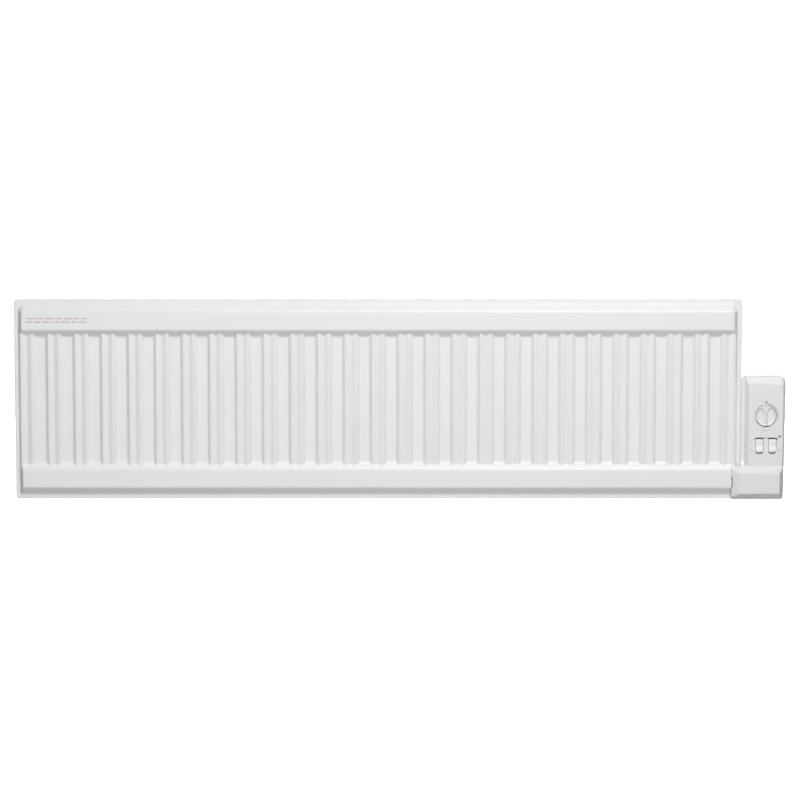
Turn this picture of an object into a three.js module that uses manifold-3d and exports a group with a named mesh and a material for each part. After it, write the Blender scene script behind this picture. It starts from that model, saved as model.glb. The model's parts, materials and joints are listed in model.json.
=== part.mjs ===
// Oil-filled electric panel heater of skirting height, hung on two wall brackets.
// Millimetres, +Z up, the front faces -Y. The origin is the centre of the bounding box at its bottom.
//
// All pieces are drawn in the panel frame: x = 0 at the middle of the panel, y = 0 on the weld
// seam between the two pressings (negative y is in front of it), z = 0 at the panel's bottom edge.
// The control box and the hangers are drawn about their own x = 0 and placed by their groups.
// The outermost group moves the panel frame to the part's origin.

import * as THREE from "three";
import { mergeVertices } from "three/addons/utils/BufferGeometryUtils.js";
import { ConvexGeometry } from "three/addons/geometries/ConvexGeometry.js";
import Module from "manifold-3d";

// ---------------------------------------------------------------- driving dimensions
const GAP = 0.3; // between neighbouring pieces

const PANEL_L = 1095.6; // panel length
const PANEL_H = 300; // panel height
const SHEET = 1.2; // steel sheet of both pressings
const SEAM = 0.15; // each pressing starts this far from the seam plane
const LAND = SEAM + SHEET; // outer skin between the ribs, from the seam plane
const CORNER_R = 4; // outer corners of the panel

const RIB = {
  count: 27, // double ribs
  pitch: 40.6,
  height: 4.3, // above the lands
  foot: 13.5, // half width where the flank meets the land
  top: 8.3, // half width at the top of the flank
  grooveTop: 5.2, // half width of the middle groove at the rib top
  grooveFloor: 0.8, // half width of its floor
  grooveDepth: 1.95,
};

const HEADER_D = 10; // header face, from the seam plane
const HEADER_Z = { rim: 7.2, faceBottom: 17.8, faceTop: 46, land: 56 }; // the top one mirrors it
const HEADER_X = PANEL_L / 2 - 6; // header ends at the rim
const HEADER_END_RUN = 5.4; // run of the steep end bevels

const HEAT_AXIS = [0, 32]; // element axis (y, z) in the bottom header

const WALL_Y = 46; // wall plane behind the seam
const BRACKET_X = 345.1; // on a land, left and right
const STRAP = 2; // bracket and lug steel
const WEB_Y = 24; // front face of the bracket's web

const BOX_X = 1.1; // the control box's x = 0, right of the panel's middle
const BOX_L = 552.2; // left wall
const BOX_R_TOP = 611.7; // right wall at the top and at the bottom (draft)
const BOX_R_BOTTOM = 609.2;
const BOX_TOP = 182.9;
const BOX_BOTTOM = -0.5;
const BOX_FACE = 12; // upper face in front of the seam plane
const FOOT_FACE = 22;
const FOOT_L = 531.2;
const FOOT_TOP = 48.6;
const PART_LINE = 14; // cover and base meet this far behind the seam plane
const BOX_BACK = 33;
const WALL = 2; // moulding wall

// Places on the box are (x, z), unless named otherwise.
const KNOB = { at: [582.2, 125.8], radius: 15.75, recess: 16.5 };
const KEY = { xs: [572.4, 591.8], z: 79.7, pivot: 6.3, width: 11.2, tilt: 8 };
const KEY_WINDOW = { width: 13, bottom: 67.2, top: 92.5 };
const LENS = { at: [602.9, 93.6], radius: 1.25 };
const PILLARS = [
  [560.5, 160],
  [602, 150],
];
const COVER_SCREW = { xs: [565, 600], y: 9 };
const CABLE_AT = [582, 40];
const EARTH_AT = [598.5, 103.5];
const PLATE_FRONT = 1.65; // mounting plate
const PLATE_BACK = 3.15;

// where the panel frame sits in the part's frame
const PANEL_ORIGIN = new THREE.Vector3(
  -(BOX_R_TOP + BOX_X - PANEL_L / 2) / 2,
  -(WALL_Y - FOOT_FACE) / 2,
  -BOX_BOTTOM,
);

// ---------------------------------------------------------------- helpers
const wasm = await Module();
wasm.setup();

const radians = THREE.MathUtils.degToRad;

// A closed three.js geometry as a manifold-3d solid.
function solid(geometry) {
  geometry.deleteAttribute("normal");
  geometry.deleteAttribute("uv");
  const merged = mergeVertices(geometry, 1e-4);
  return new wasm.Manifold(
    new wasm.Mesh({
      numProp: 3,
      vertProperties: merged.attributes.position.array,
      triVerts: new Uint32Array(merged.index.array),
    }),
  );
}

function geometryOf(manifold) {
  const mesh = manifold.getMesh();
  const stride = mesh.numProp;
  const positions = new Float32Array(mesh.numVert * 3);
  for (let i = 0; i < mesh.numVert; i++)
    positions.set(mesh.vertProperties.subarray(i * stride, i * stride + 3), i * 3);
  const geometry = new THREE.BufferGeometry();
  geometry.setAttribute("position", new THREE.BufferAttribute(positions, 3));
  geometry.setIndex(new THREE.BufferAttribute(new Uint32Array(mesh.triVerts), 1));
  geometry.computeVertexNormals();
  return geometry;
}

const join = (...solids) => solids.reduce((sum, next) => sum.add(next));
const cut = (body, ...tools) => tools.reduce((rest, tool) => rest.subtract(tool), body);

const box = (x0, x1, y0, y1, z0, z1) =>
  solid(
    new THREE.BoxGeometry(x1 - x0, y1 - y0, z1 - z0).translate(
      (x0 + x1) / 2,
      (y0 + y1) / 2,
      (z0 + z1) / 2,
    ),
  );

// A profile swept along an axis. x: points are (y, z). y: points are (z, x). z: points are (x, y).
function prism(axis, points, from, to) {
  const shape = new THREE.Shape(points.map(([u, v]) => new THREE.Vector2(u, v)));
  const geometry = new THREE.ExtrudeGeometry(shape, {
    depth: to - from,
    bevelEnabled: false,
    curveSegments: 1,
  });
  geometry.translate(0, 0, from);
  const X = new THREE.Vector3(1, 0, 0);
  const Y = new THREE.Vector3(0, 1, 0);
  const Z = new THREE.Vector3(0, 0, 1);
  const directions = { x: [Y, Z, X], y: [Z, X, Y], z: [X, Y, Z] }[axis];
  return solid(geometry.applyMatrix4(new THREE.Matrix4().makeBasis(...directions)));
}

// A cylinder between two places on an axis; centre is given in the other two directions.
function rod(axis, radius, from, to, [u, v], segments = 16, turn = 0) {
  const geometry = new THREE.CylinderGeometry(radius, radius, to - from, segments, 1);
  const middle = (from + to) / 2;
  geometry.rotateY(turn);
  if (axis === "x") geometry.rotateZ(-Math.PI / 2).translate(middle, u, v);
  else if (axis === "y") geometry.translate(u, middle, v);
  else geometry.rotateX(Math.PI / 2).translate(u, v, middle);
  return solid(geometry);
}

// A closed tube along (x, y, z) points.
function tube(points, radius, steps, sides) {
  const path = new THREE.CatmullRomCurve3(
    points.map((point) => new THREE.Vector3(...point)),
    false,
    "catmullrom",
  );
  const section = new THREE.Shape(
    Array.from({ length: sides }, (_, i) => {
      const angle = (2 * Math.PI * (i + 0.5)) / sides;
      return new THREE.Vector2(radius * Math.cos(angle), radius * Math.sin(angle));
    }),
  );
  return solid(
    new THREE.ExtrudeGeometry(section, { steps, bevelEnabled: false, extrudePath: path }),
  );
}

const convex = (points) =>
  solid(new ConvexGeometry(points.map((point) => new THREE.Vector3(...point))));

const MATERIALS = {
  painted: { color: 0xe4e6e7, roughness: 0.42, metalness: 0.0 },
  moulded: { color: 0xe2e3e3, roughness: 0.5, metalness: 0.0 },
  moulded_dark: { color: 0x4a4d50, roughness: 0.6, metalness: 0.0 },
  zinc: { color: 0xb9bcbe, roughness: 0.4, metalness: 0.9 },
  brass: { color: 0xc6a45a, roughness: 0.35, metalness: 1.0 },
  sheath: { color: 0x8c8a86, roughness: 0.45, metalness: 0.9 },
  copper: { color: 0xb8734a, roughness: 0.4, metalness: 1.0 },
  rubber: { color: 0x2b2b2c, roughness: 0.8, metalness: 0.0 },
  nylon: { color: 0xd9d6cc, roughness: 0.55, metalness: 0.0 },
  lens: { color: 0x5a2622, roughness: 0.25, metalness: 0.0 },
  glass: { color: 0xd8d2c8, roughness: 0.1, metalness: 0.0 },
  cable: { color: 0xdedfdf, roughness: 0.55, metalness: 0.0 },
  brown: { color: 0x6b4128, roughness: 0.5, metalness: 0.0 },
  blue: { color: 0x2d5fa8, roughness: 0.5, metalness: 0.0 },
  green: { color: 0x6f9a35, roughness: 0.5, metalness: 0.0 },
};

function piece(name, shape, material) {
  const mesh = new THREE.Mesh(
    geometryOf(shape),
    new THREE.MeshStandardMaterial(MATERIALS[material]),
  );
  mesh.name = name;
  return mesh;
}

// ---------------------------------------------------------------- the two pressings
// side is -1 for the front pressing and +1 for the rear one: it is the sign of y.
// inner asks for the cavity instead of the outer skin. Depths are measured from the seam plane.
const SKIN_BASE = SEAM + 0.3; // outer skins start inside the slab
const COMB_CAVITY_BASE = -0.6; // cavities start beyond the seam plane
const HEADER_CAVITY_BASE = -0.8;
const COMB_OVERRUN = { outer: 6, inner: 6.5 }; // the ribs run this far into the headers
const CAVITY_GROOVE_EXTRA = 0.3; // the groove is this much wider each side in the cavity
const BOSS_BORE = { radius: 13.3, inset: 6.8 };
const FILL_AT = [470, PANEL_H - (HEADER_Z.faceBottom + HEADER_Z.faceTop) / 2];
const FILL_HOLE_R = 4.4;

// Panel outline with rounded corners, as (z, x) points.
function panelOutline() {
  const high = PANEL_H - CORNER_R;
  const right = PANEL_L / 2 - CORNER_R;
  // corner centre z and x, start angle
  const corners = [
    [high, right, 90],
    [high, -right, 0],
    [CORNER_R, -right, -90],
    [CORNER_R, right, -180],
  ];
  return corners.flatMap(([z, x, start]) =>
    [0, 30, 60, 90].map((turn) => {
      const angle = radians(start - turn);
      return [z + CORNER_R * Math.cos(angle), x + CORNER_R * Math.sin(angle)];
    }),
  );
}

// The rib comb's section, as (x, depth) points from left to right, closed along its base.
function ribComb(inner) {
  const slope = (RIB.foot - RIB.top) / RIB.height;
  const inset = inner ? SHEET * Math.hypot(1, slope) : 0;
  const base = inner ? COMB_CAVITY_BASE : SKIN_BASE;
  const roof = LAND + RIB.height - (inner ? SHEET : 0);
  const widening = inner ? CAVITY_GROOVE_EXTRA : 0;
  const flank = (depth) => RIB.foot - inset - (depth - LAND) * slope;
  const leftHalf = [
    [-flank(base + 0.1), base + 0.1],
    [-flank(roof), roof],
    [-RIB.grooveTop - widening, roof],
    [-RIB.grooveFloor - widening, roof - RIB.grooveDepth],
  ];
  const firstX = -((RIB.count - 1) / 2) * RIB.pitch;
  const points = [];
  for (let i = 0; i < RIB.count; i++) {
    const centre = firstX + i * RIB.pitch;
    for (const [x, depth] of leftHalf) points.push([centre + x, depth]);
    for (const [x, depth] of [...leftHalf].reverse()) points.push([centre - x, depth]);
  }
  const left = points[0][0];
  const right = points[points.length - 1][0];
  points.push([right, base - 0.2], [left, base - 0.2]);
  return points;
}

const same = (z) => z;
const mirrored = (z) => PANEL_H - z;

// A header with bevels all round; place is `same` for the bottom one, `mirrored` for the top one.
function header(side, place, inner) {
  const base = inner ? HEADER_CAVITY_BASE : SKIN_BASE;
  const face = inner ? HEADER_D - SHEET : HEADER_D;
  // where a bevel between two places (at the lands and at the face) is at some depth
  const bevel = (atLand, atFace, depth) => {
    const slope = (atFace - atLand) / (HEADER_D - LAND);
    const inset = inner ? SHEET * Math.hypot(1, slope) * Math.sign(slope) : 0;
    return atLand + inset + (depth - LAND) * slope;
  };
  const points = [];
  for (const depth of [base, face]) {
    const x = bevel(HEADER_X, HEADER_X - HEADER_END_RUN, depth);
    for (const z of [
      bevel(place(HEADER_Z.rim), place(HEADER_Z.faceBottom), depth),
      bevel(place(HEADER_Z.land), place(HEADER_Z.faceTop), depth),
    ])
      points.push([-x, side * depth, z], [x, side * depth, z]);
  }
  return convex(points);
}

function pressing(side) {
  const slabY = side < 0 ? [-LAND, -SEAM] : [SEAM, LAND];
  const comb = (inner) => {
    const end = HEADER_Z.land - (inner ? COMB_OVERRUN.inner : COMB_OVERRUN.outer);
    const section = ribComb(inner).map(([x, depth]) => [x, side * depth]);
    return prism("z", section, end, mirrored(end));
  };
  return cut(
    join(
      prism("y", panelOutline(), ...slabY),
      header(side, same, false),
      header(side, mirrored, false),
      comb(false),
    ),
    comb(true),
    header(side, same, true),
    header(side, mirrored, true),
    rod("x", BOSS_BORE.radius, HEADER_X - BOSS_BORE.inset, PANEL_L / 2 + 2, HEAT_AXIS, 24),
  );
}

const rearPlate = () =>
  cut(pressing(1), rod("y", FILL_HOLE_R, HEADER_D - 3, HEADER_D + 3, FILL_AT));

// ---------------------------------------------------------------- oil plug
const plugSeal = () =>
  cut(
    rod("y", 8, HEADER_D + GAP, HEADER_D + 1.5, FILL_AT),
    rod("y", FILL_HOLE_R, HEADER_D - 1, HEADER_D + 3, FILL_AT),
  );

const plug = () =>
  join(
    rod("y", 4, HEADER_D - 4, HEADER_D + 3, FILL_AT), // shank
    rod("y", 8.2, HEADER_D + 1.8, HEADER_D + 2.8, FILL_AT), // collar
    rod("y", 6.5, HEADER_D + 2.4, HEADER_D + 7.2, FILL_AT, 6), // hexagon
  );

// ---------------------------------------------------------------- heating element
const LEG_GAP = 9; // between the axes of the hairpin's legs
const LEG_R = 3.2;
const LEG_SIDES = 8;
const LEG_HOLE_R = LEG_R + 0.35;
const LEG_ZS = [HEAT_AXIS[1] - LEG_GAP / 2, HEAT_AXIS[1] + LEG_GAP / 2];
const ELEMENT_L = -430; // the bend
const ELEMENT_R = 578; // the cold ends, with their terminal pins
const PIN_L = 6;
const BOSS = { left: HEADER_X - 6.5, right: 556, radius: 13 };

// One leg, or a hole for one, with flats above and below.
const leg = (radius, from, to, z) =>
  rod("x", radius, from, to, [0, z], LEG_SIDES, Math.PI / LEG_SIDES);

function heatingElement() {
  const bend = Array.from({ length: 7 }, (_, i) => {
    const angle = Math.PI / 2 + (i * Math.PI) / 6;
    return [
      ELEMENT_L + (LEG_GAP / 2) * Math.cos(angle),
      0,
      HEAT_AXIS[1] + (LEG_GAP / 2) * Math.sin(angle),
    ];
  });
  return join(
    tube(bend, LEG_R, 8, LEG_SIDES),
    ...LEG_ZS.map((z) => leg(LEG_R, ELEMENT_L - 0.4, ELEMENT_R - PIN_L, z)),
    ...LEG_ZS.map((z) => rod("x", 1.2, ELEMENT_R - PIN_L - 1, ELEMENT_R, [0, z], 6)),
  );
}

const elementBoss = () =>
  cut(
    rod("x", BOSS.radius, BOSS.left, BOSS.right, HEAT_AXIS, 24),
    rod("x", 9, BOSS.left - 1, BOSS.right + 1, HEAT_AXIS),
  );

const elementGasket = () =>
  cut(
    rod("x", BOSS.radius, BOSS.right + GAP, BOSS.right + 1.8, HEAT_AXIS, 20),
    rod("x", 9.2, BOSS.right - 1, BOSS.right + 3, HEAT_AXIS),
  );

const elementHead = () =>
  cut(
    join(
      rod("x", 8.5, BOSS.right - 14, BOSS.right + 3, HEAT_AXIS),
      rod("x", 15.6, BOSS.right + 2.1, BOSS.right + 9.5, HEAT_AXIS, 6), // hexagon
    ),
    ...LEG_ZS.map((z) => leg(LEG_HOLE_R, BOSS.right - 20, BOSS.right + 20, z)),
  );

// ---------------------------------------------------------------- hanging
// Drawn about the bracket's own x = 0.
const LUG = {
  front: LAND + GAP,
  back: LAND + GAP + STRAP,
  hookFront: WEB_Y + 5,
  hookBack: WEB_Y + 5 + STRAP,
  upperZ: 226, // underside of each lug's leg
  lowerZ: 66,
  plate: 30, // height of the part on the panel, from the underside of the leg
  hookDrop: 15,
  halfWidth: 6,
};
const BRACKET = { halfWidth: 18, top: 292, webTop: 262, webBottom: 24, bottom: 2 };
const WALL_SCREW_ZS = [275, 12];
const SPACER_AT = [0, 36];
const SLOT_HALF_W = 7.2;
const NECK_HALF_W = SLOT_HALF_W - GAP; // part of saddle and latch inside a slot
const NECK_Y = [WEB_Y - 0.6, WEB_Y + STRAP + 0.6];
const WEB_BACK = WEB_Y + STRAP;

function upperLug() {
  const { front, back, hookFront, hookBack, upperZ: z, plate, hookDrop, halfWidth } = LUG;
  const section = [
    [front, z - plate],
    [back, z - plate],
    [back, z],
    [hookFront, z],
    [hookFront, z - hookDrop],
    [hookBack, z - hookDrop],
    [hookBack, z + STRAP],
    [front, z + STRAP],
  ];
  return prism("x", section, -halfWidth, halfWidth);
}

function lowerLug() {
  const { front, back, hookFront, hookBack, lowerZ: z, plate, hookDrop, halfWidth } = LUG;
  const section = [
    [front, z],
    [hookFront, z],
    [hookFront, z - hookDrop],
    [hookBack, z - hookDrop],
    [hookBack, z + STRAP],
    [back, z + STRAP],
    [back, z + plate],
    [front, z + plate],
  ];
  return prism("x", section, -halfWidth, halfWidth);
}

function bracket() {
  const { halfWidth, top, webTop, webBottom, bottom } = BRACKET;
  const section = [
    [WALL_Y, top],
    [WALL_Y - STRAP, top],
    [WALL_Y - STRAP, webTop],
    [WEB_Y, webTop],
    [WEB_Y, webBottom],
    [WALL_Y - STRAP, webBottom],
    [WALL_Y - STRAP, bottom],
    [WALL_Y, bottom],
    [WALL_Y, webBottom + STRAP],
    [WEB_BACK, webBottom + STRAP],
    [WEB_BACK, webTop - STRAP],
    [WALL_Y, webTop - STRAP],
  ];
  const slot = (z0, z1) => box(-SLOT_HALF_W, SLOT_HALF_W, WEB_Y - 1, WEB_BACK + 1, z0, z1);
  return cut(
    prism("x", section, -halfWidth, halfWidth),
    slot(220, 248),
    slot(58, 104),
    ...WALL_SCREW_ZS.map((z) => rod("y", 3, WALL_Y - 4, WALL_Y + 2, [0, z], 12)),
    rod("y", 2.4, WEB_Y - 1, WEB_BACK + 1, SPACER_AT, 10),
  );
}

function saddle() {
  const top = LUG.upperZ - GAP;
  return join(
    box(-10, 10, WEB_Y - 2.1, WEB_Y - GAP, 212, top),
    box(-NECK_HALF_W, NECK_HALF_W, ...NECK_Y, 220.3, top),
    box(-10, 10, WEB_BACK + GAP, WEB_BACK + 2, 214, top),
  );
}

const latch = () =>
  join(
    box(-11, 11, WEB_Y - 3.3, WEB_Y - GAP, 71, 100), // front plate
    box(7.6, 13.6, WEB_Y - 3.3, WEB_Y - GAP, 40, 74), // arm down its right side
    box(7.6, 13.6, WEB_Y - 7, WEB_Y - GAP, 40, 43), // ledge at the arm's end
    box(-NECK_HALF_W, NECK_HALF_W, ...NECK_Y, 71, 89),
    box(-10, 10, WEB_BACK + GAP, WEB_BACK + 2.2, 71, 95), // rear plate
  );

const distancePiece = () =>
  join(
    rod("y", 8, HEADER_D + GAP + 0.3, WEB_Y - GAP, SPACER_AT),
    rod("y", 2, WEB_Y - 1, WEB_BACK + 1.5, SPACER_AT, 10),
  );

function hanging(side, x) {
  const group = new THREE.Group();
  group.position.x = x;
  group.add(
    piece("hanger_lug_upper_" + side, upperLug(), "painted"),
    piece("hanger_lug_lower_" + side, lowerLug(), "painted"),
    piece("wall_bracket_" + side, bracket(), "zinc"),
    piece("bracket_saddle_" + side, saddle(), "nylon"),
    piece("safety_latch_" + side, latch(), "moulded_dark"),
    piece("distance_piece_" + side, distancePiece(), "nylon"),
  );
  return group;
}

// ---------------------------------------------------------------- control box: cover
const PANEL_END = PANEL_L / 2 - BOX_X; // right edge of the panel, in the box's x
const PANEL_CLEARANCE = 0.4; // in front of the panel
const BOSS_ROOM_R = 13.6;
const UPPER_BODY = {
  wallFront: 4.5, // straight walls end this far in front of the seam plane
  rightFront: 8.6, // the right wall goes on to here
  faceLeft: 557.3,
  faceRight: [605.4, 607.6], // at the bottom and near the top
  faceCornerX: 604,
  faceCornerDrop: 5,
  faceTop: 169.9,
  rightTop: 168,
};
const FOOT = { wallFront: 11.5, faceX: [542.7, 602.8], faceZ: [8.7, 39.2] };

// Outline of the box seen from the front, shrunk by inset, as (z, x) points.
function boxOutline(inset, cornerR = 9) {
  const right = (z) => BOX_R_BOTTOM + ((BOX_R_TOP - BOX_R_BOTTOM) * z) / BOX_TOP - inset;
  const left = BOX_L + inset;
  const top = BOX_TOP - inset;
  const bottom = BOX_BOTTOM + inset;
  const corner = [0, 1, 2, 3, 4].map((i) => {
    const angle = radians(i * 22.5);
    return [
      top - cornerR + cornerR * Math.sin(angle),
      right(top) - cornerR + cornerR * Math.cos(angle),
    ];
  });
  return [[bottom, left], [bottom, right(0)], ...corner, [top, left]];
}

// Upper body: straight walls, wide bevels left and on top, a small one on the right.
function upperBody(inset, back) {
  const { faceRight, faceCornerX } = UPPER_BODY;
  const face = -(BOX_FACE - inset);
  const wallFront = -(UPPER_BODY.wallFront - inset);
  const rightFront = -(UPPER_BODY.rightFront - inset);
  const bottom = BOX_BOTTOM + inset;
  const faceTop = UPPER_BODY.faceTop - 0.4 * inset;
  const shift = 0.5 * inset; // of the face's sides
  return convex([
    ...boxOutline(inset).flatMap(([z, x]) => [
      [x, back, z],
      [x, wallFront, z],
    ]),
    [UPPER_BODY.faceLeft + shift, face, bottom],
    [UPPER_BODY.faceLeft + shift, face, faceTop],
    [faceRight[0] - shift, face, bottom],
    [faceRight[1] - shift, face, faceTop - UPPER_BODY.faceCornerDrop],
    [faceCornerX - shift, face, faceTop],
    [BOX_R_BOTTOM - 0.2 - inset, rightFront, bottom],
    [BOX_R_TOP - 0.4 - inset, rightFront, UPPER_BODY.rightTop],
  ]);
}

// Foot: deeper block with bevels all round, standing over the end of the bottom header.
function footBody(inset, back) {
  const shift = 0.4 * inset; // of the face's sides
  const points = [];
  for (const x of [FOOT_L + inset, BOX_R_BOTTOM - 0.1 - inset])
    for (const z of [BOX_BOTTOM + inset, FOOT_TOP - inset])
      points.push([x, back, z], [x, -(FOOT.wallFront - inset), z]);
  for (const x of [FOOT.faceX[0] + shift, FOOT.faceX[1] - shift])
    for (const z of [FOOT.faceZ[0] + shift, FOOT.faceZ[1] - shift])
      points.push([x, -(FOOT_FACE - inset), z]);
  return convex(points);
}

// Room for the end of the panel under the foot: the header's section with a little clearance.
function panelRoom() {
  const landFront = -LAND - PANEL_CLEARANCE;
  const headerFront = -HEADER_D - PANEL_CLEARANCE;
  const section = [
    [WALL_Y, -3],
    [landFront, -3],
    [landFront, HEADER_Z.rim - GAP],
    [headerFront, HEADER_Z.faceBottom - GAP],
    [headerFront, HEADER_Z.faceTop + GAP],
    [landFront, HEADER_Z.land + GAP],
    [WALL_Y, HEADER_Z.land + GAP],
  ];
  return prism("x", section, FOOT_L - 5, PANEL_END + 0.5);
}

function bossRoom() {
  const [from, to] = [FOOT_L + 1, BOX_L + 6];
  const z = HEAT_AXIS[1];
  return join(
    rod("x", BOSS_ROOM_R, from, to, HEAT_AXIS, 20),
    box(from, to, 0, 20, z - BOSS_ROOM_R, z + BOSS_ROOM_R),
  );
}

function keyWindow(x) {
  const { width, bottom, top } = KEY_WINDOW;
  return box(x - width / 2, x + width / 2, -20, -6, bottom, top);
}

function cover() {
  const shell = cut(
    join(upperBody(0, PART_LINE), footBody(0, -0.2)),
    join(upperBody(WALL, PART_LINE + 2), footBody(WALL, 3)),
  );
  return cut(
    join(
      shell,
      rod("y", KNOB.recess + WALL, -BOX_FACE + 0.2, -6.8, KNOB.at, 32), // knob recess cup
      box(PANEL_END + 0.4, BOX_L + 0.5, -1.4, 0, FOOT_TOP - 1, BOX_TOP - 6), // left lip
    ),
    rod("y", KNOB.recess, -BOX_FACE - 2, -8.8, KNOB.at, 32),
    rod("y", 5.2, -20, 0, KNOB.at), // hub hole
    ...KEY.xs.map(keyWindow),
    rod("y", LENS.radius + 0.35, -20, -6, LENS.at, 12),
    box(578.7, 585.7, -20, -6, 103.7, 110.2), // opening of the limit tab
    panelRoom(),
    bossRoom(),
    box(BOX_L - 1, BOX_L + 5, 1.3, 20, 61, 173), // where the mounting plate comes in
    ...COVER_SCREW.xs.map((x) =>
      rod("z", 3.3, BOX_BOTTOM - 1, BOX_BOTTOM + 3, [x, COVER_SCREW.y], 12),
    ),
  );
}

// ---------------------------------------------------------------- control box: base
const VENT_ZS = [120, 130, 140, 150, 160];
const VENT_H = 3;
const CABLE_HOLE_R = 7.3;

// A wall following the box outline, between two insets.
const ring = (outerInset, innerInset, y0, y1) =>
  cut(
    prism("y", boxOutline(outerInset), y0, y1),
    prism("y", boxOutline(innerInset, 7.5), y0 - 1, y1 + 1),
  );

const vent = (z) =>
  box(BOX_L + 12, BOX_R_TOP - 14, BOX_BACK - 4, BOX_BACK + 2, z, z + VENT_H);

const base = () =>
  cut(
    join(
      prism("y", boxOutline(0), BOX_BACK - WALL, BOX_BACK),
      ring(0, WALL, PART_LINE + GAP, BOX_BACK - 0.5), // outer wall
      ring(WALL + 0.4, WALL + 1.9, 3.6, PART_LINE + 4), // collar inside the cover
      ring(0.5, WALL + 1.9, PART_LINE + 2, PART_LINE + 4), // web between the two
      ...PILLARS.map((at) => rod("y", 4, 3.5, BOX_BACK - 1, at, 12)),
      ...COVER_SCREW.xs.map((x) => box(x - 4, x + 4, 4.5, PART_LINE + 3, 3, 13)),
    ),
    ...PILLARS.map((at) => rod("y", 1.9, 3, 18, at, 8)),
    ...COVER_SCREW.xs.map((x) => rod("z", 2, -2, 11.5, [x, COVER_SCREW.y], 8)),
    rod("y", CABLE_HOLE_R, BOX_BACK - 4, BOX_BACK + 2, CABLE_AT),
    rod("x", BOSS_ROOM_R, BOX_L - 2, BOX_L + 6, HEAT_AXIS, 20),
    ...VENT_ZS.map(vent),
  );

// ---------------------------------------------------------------- mounting plate and its load
const mountingPlate = () =>
  cut(
    box(541.9, 605, PLATE_FRONT, PLATE_BACK, 61.5, 172.5),
    rod("y", 7.3, 0, 5, KNOB.at), // thermostat neck
    box(564, 600.5, 0, 5, 64.5, 96), // switches
    box(599, 606, 0, 5, 88, 99), // notch in the right edge
    ...PILLARS.map((at) => rod("y", 2, 0, 5, at, 10)),
    rod("y", 1.7, 0, 5, EARTH_AT, 10),
  );

// Screw through the mounting plate into a pillar, with a slotted head.
function baseScrew([x, z]) {
  return cut(
    join(
      rod("y", 3.4, PLATE_FRONT - 2.3, PLATE_FRONT - GAP, [x, z], 12),
      rod("y", 1.5, PLATE_FRONT - 1, PLATE_FRONT + 14, [x, z], 8),
    ),
    box(x - 0.5, x + 0.5, PLATE_FRONT - 3, PLATE_FRONT - 1.3, z - 4, z + 4),
  );
}

function thermostatBody() {
  // left and bottom of each rear tab
  const tabs = [
    [571, 114],
    [571, 132],
    [590, 114],
  ];
  return cut(
    join(
      box(567, 597, PLATE_BACK + 0.4, 22, 111, 141),
      rod("y", 7, -3, PLATE_BACK + 1, KNOB.at), // neck
      ...tabs.map(([x, z]) => box(x, x + 3, 21, 26, z, z + 6)),
    ),
    rod("y", 3.3, -5, 1.5, KNOB.at, 12),
  );
}

// The shaft has a flat on top.
function thermostatShaft() {
  const [x, z] = KNOB.at;
  return cut(
    rod("y", 2.9, -11.2, 1.2, KNOB.at, 12),
    box(x - 5, x + 5, -12, -4, z + 1.9, z + 5),
  );
}

const thermalCutout = () =>
  join(
    rod("y", 8, PLATE_BACK + 0.4, 11, [578, 158]),
    rod("y", 5.5, 10, 14, [578, 158], 12),
    ...[574, 580.5].map((x) => box(x, x + 1.5, 13, 19, 155, 161)), // rear tabs
  );

const earthScrew = () =>
  join(
    rod("y", 3, PLATE_FRONT - 2, PLATE_FRONT - GAP, EARTH_AT, 12),
    rod("y", 1.4, PLATE_FRONT - 1, 7.2, EARTH_AT, 8),
    rod("y", 2.8, PLATE_BACK + 2.2, 7.2, EARTH_AT, 6), // nut
  );

// ---------------------------------------------------------------- knob
// Disc with two scoops that leave an hourglass grip, a pointer dimple and a hub on the shaft.
const KNOB_FRONT = -15.2;
const KNOB_BACK = -9.1;
const KNOB_STEP = KNOB_FRONT + 0.9; // front and rear disc meet here
const SCOOP = {
  radius: 13.2,
  start: 2.2, // from the knob's axis to the grip at the scoop's floor
  floorWidth: 0.82, // the floor is smaller than the mouth by these factors
  floorHeight: 0.72,
  depth: 2.6,
};

// side is -1 for the left scoop and +1 for the right one.
function scoop(side) {
  const [x, z] = KNOB.at;
  const { radius, start, floorWidth, floorHeight, depth } = SCOOP;
  const mouthY = KNOB_FRONT - 1;
  const points = [];
  for (let i = 0; i < 9; i++) {
    const angle = radians(-64 + i * 16);
    const across = Math.cos(angle) * radius;
    const up = Math.sin(angle) * radius;
    points.push(
      [x + side * across, mouthY, z + up],
      [x + side * (start + (across - start) * floorWidth), KNOB_FRONT + depth, z + up * floorHeight],
    );
  }
  points.push([x + side * 1.3, mouthY, z - 2], [x + side * 1.3, mouthY, z + 1]);
  return convex(points);
}

function knob() {
  const [x, z] = KNOB.at;
  return cut(
    join(
      rod("y", KNOB.radius, KNOB_STEP, KNOB_BACK, KNOB.at, 32),
      rod("y", KNOB.radius, KNOB_FRONT, KNOB_STEP, KNOB.at, 32),
      rod("y", 4.8, KNOB_BACK - 0.5, -3.8, KNOB.at, 12), // hub
    ),
    scoop(-1),
    scoop(1),
    rod("y", 0.8, KNOB_FRONT - 1, KNOB_FRONT + 0.8, [x, z + 11.3], 8), // dimple
    rod("y", 3.3, -11.6, 0, KNOB.at, 12), // shaft hole
  );
}

// ---------------------------------------------------------------- rocker keys and switches
// Section of a key about its pivot in its middle position: (distance in front, z),
// two faces meeting in a shallow V.
const KEY_SECTION = [
  [2.3, -9.4], [2.3, -1.5], [0.2, -1.5],
  [0.2, 1.5], [2.3, 1.5], [2.3, 9.4],
  [6.5, 9.4], [5.2, 0], [6.5, -9.4],
];
const PIVOT_AXIS = [-KEY.pivot, KEY.z]; // (y, z)

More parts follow.
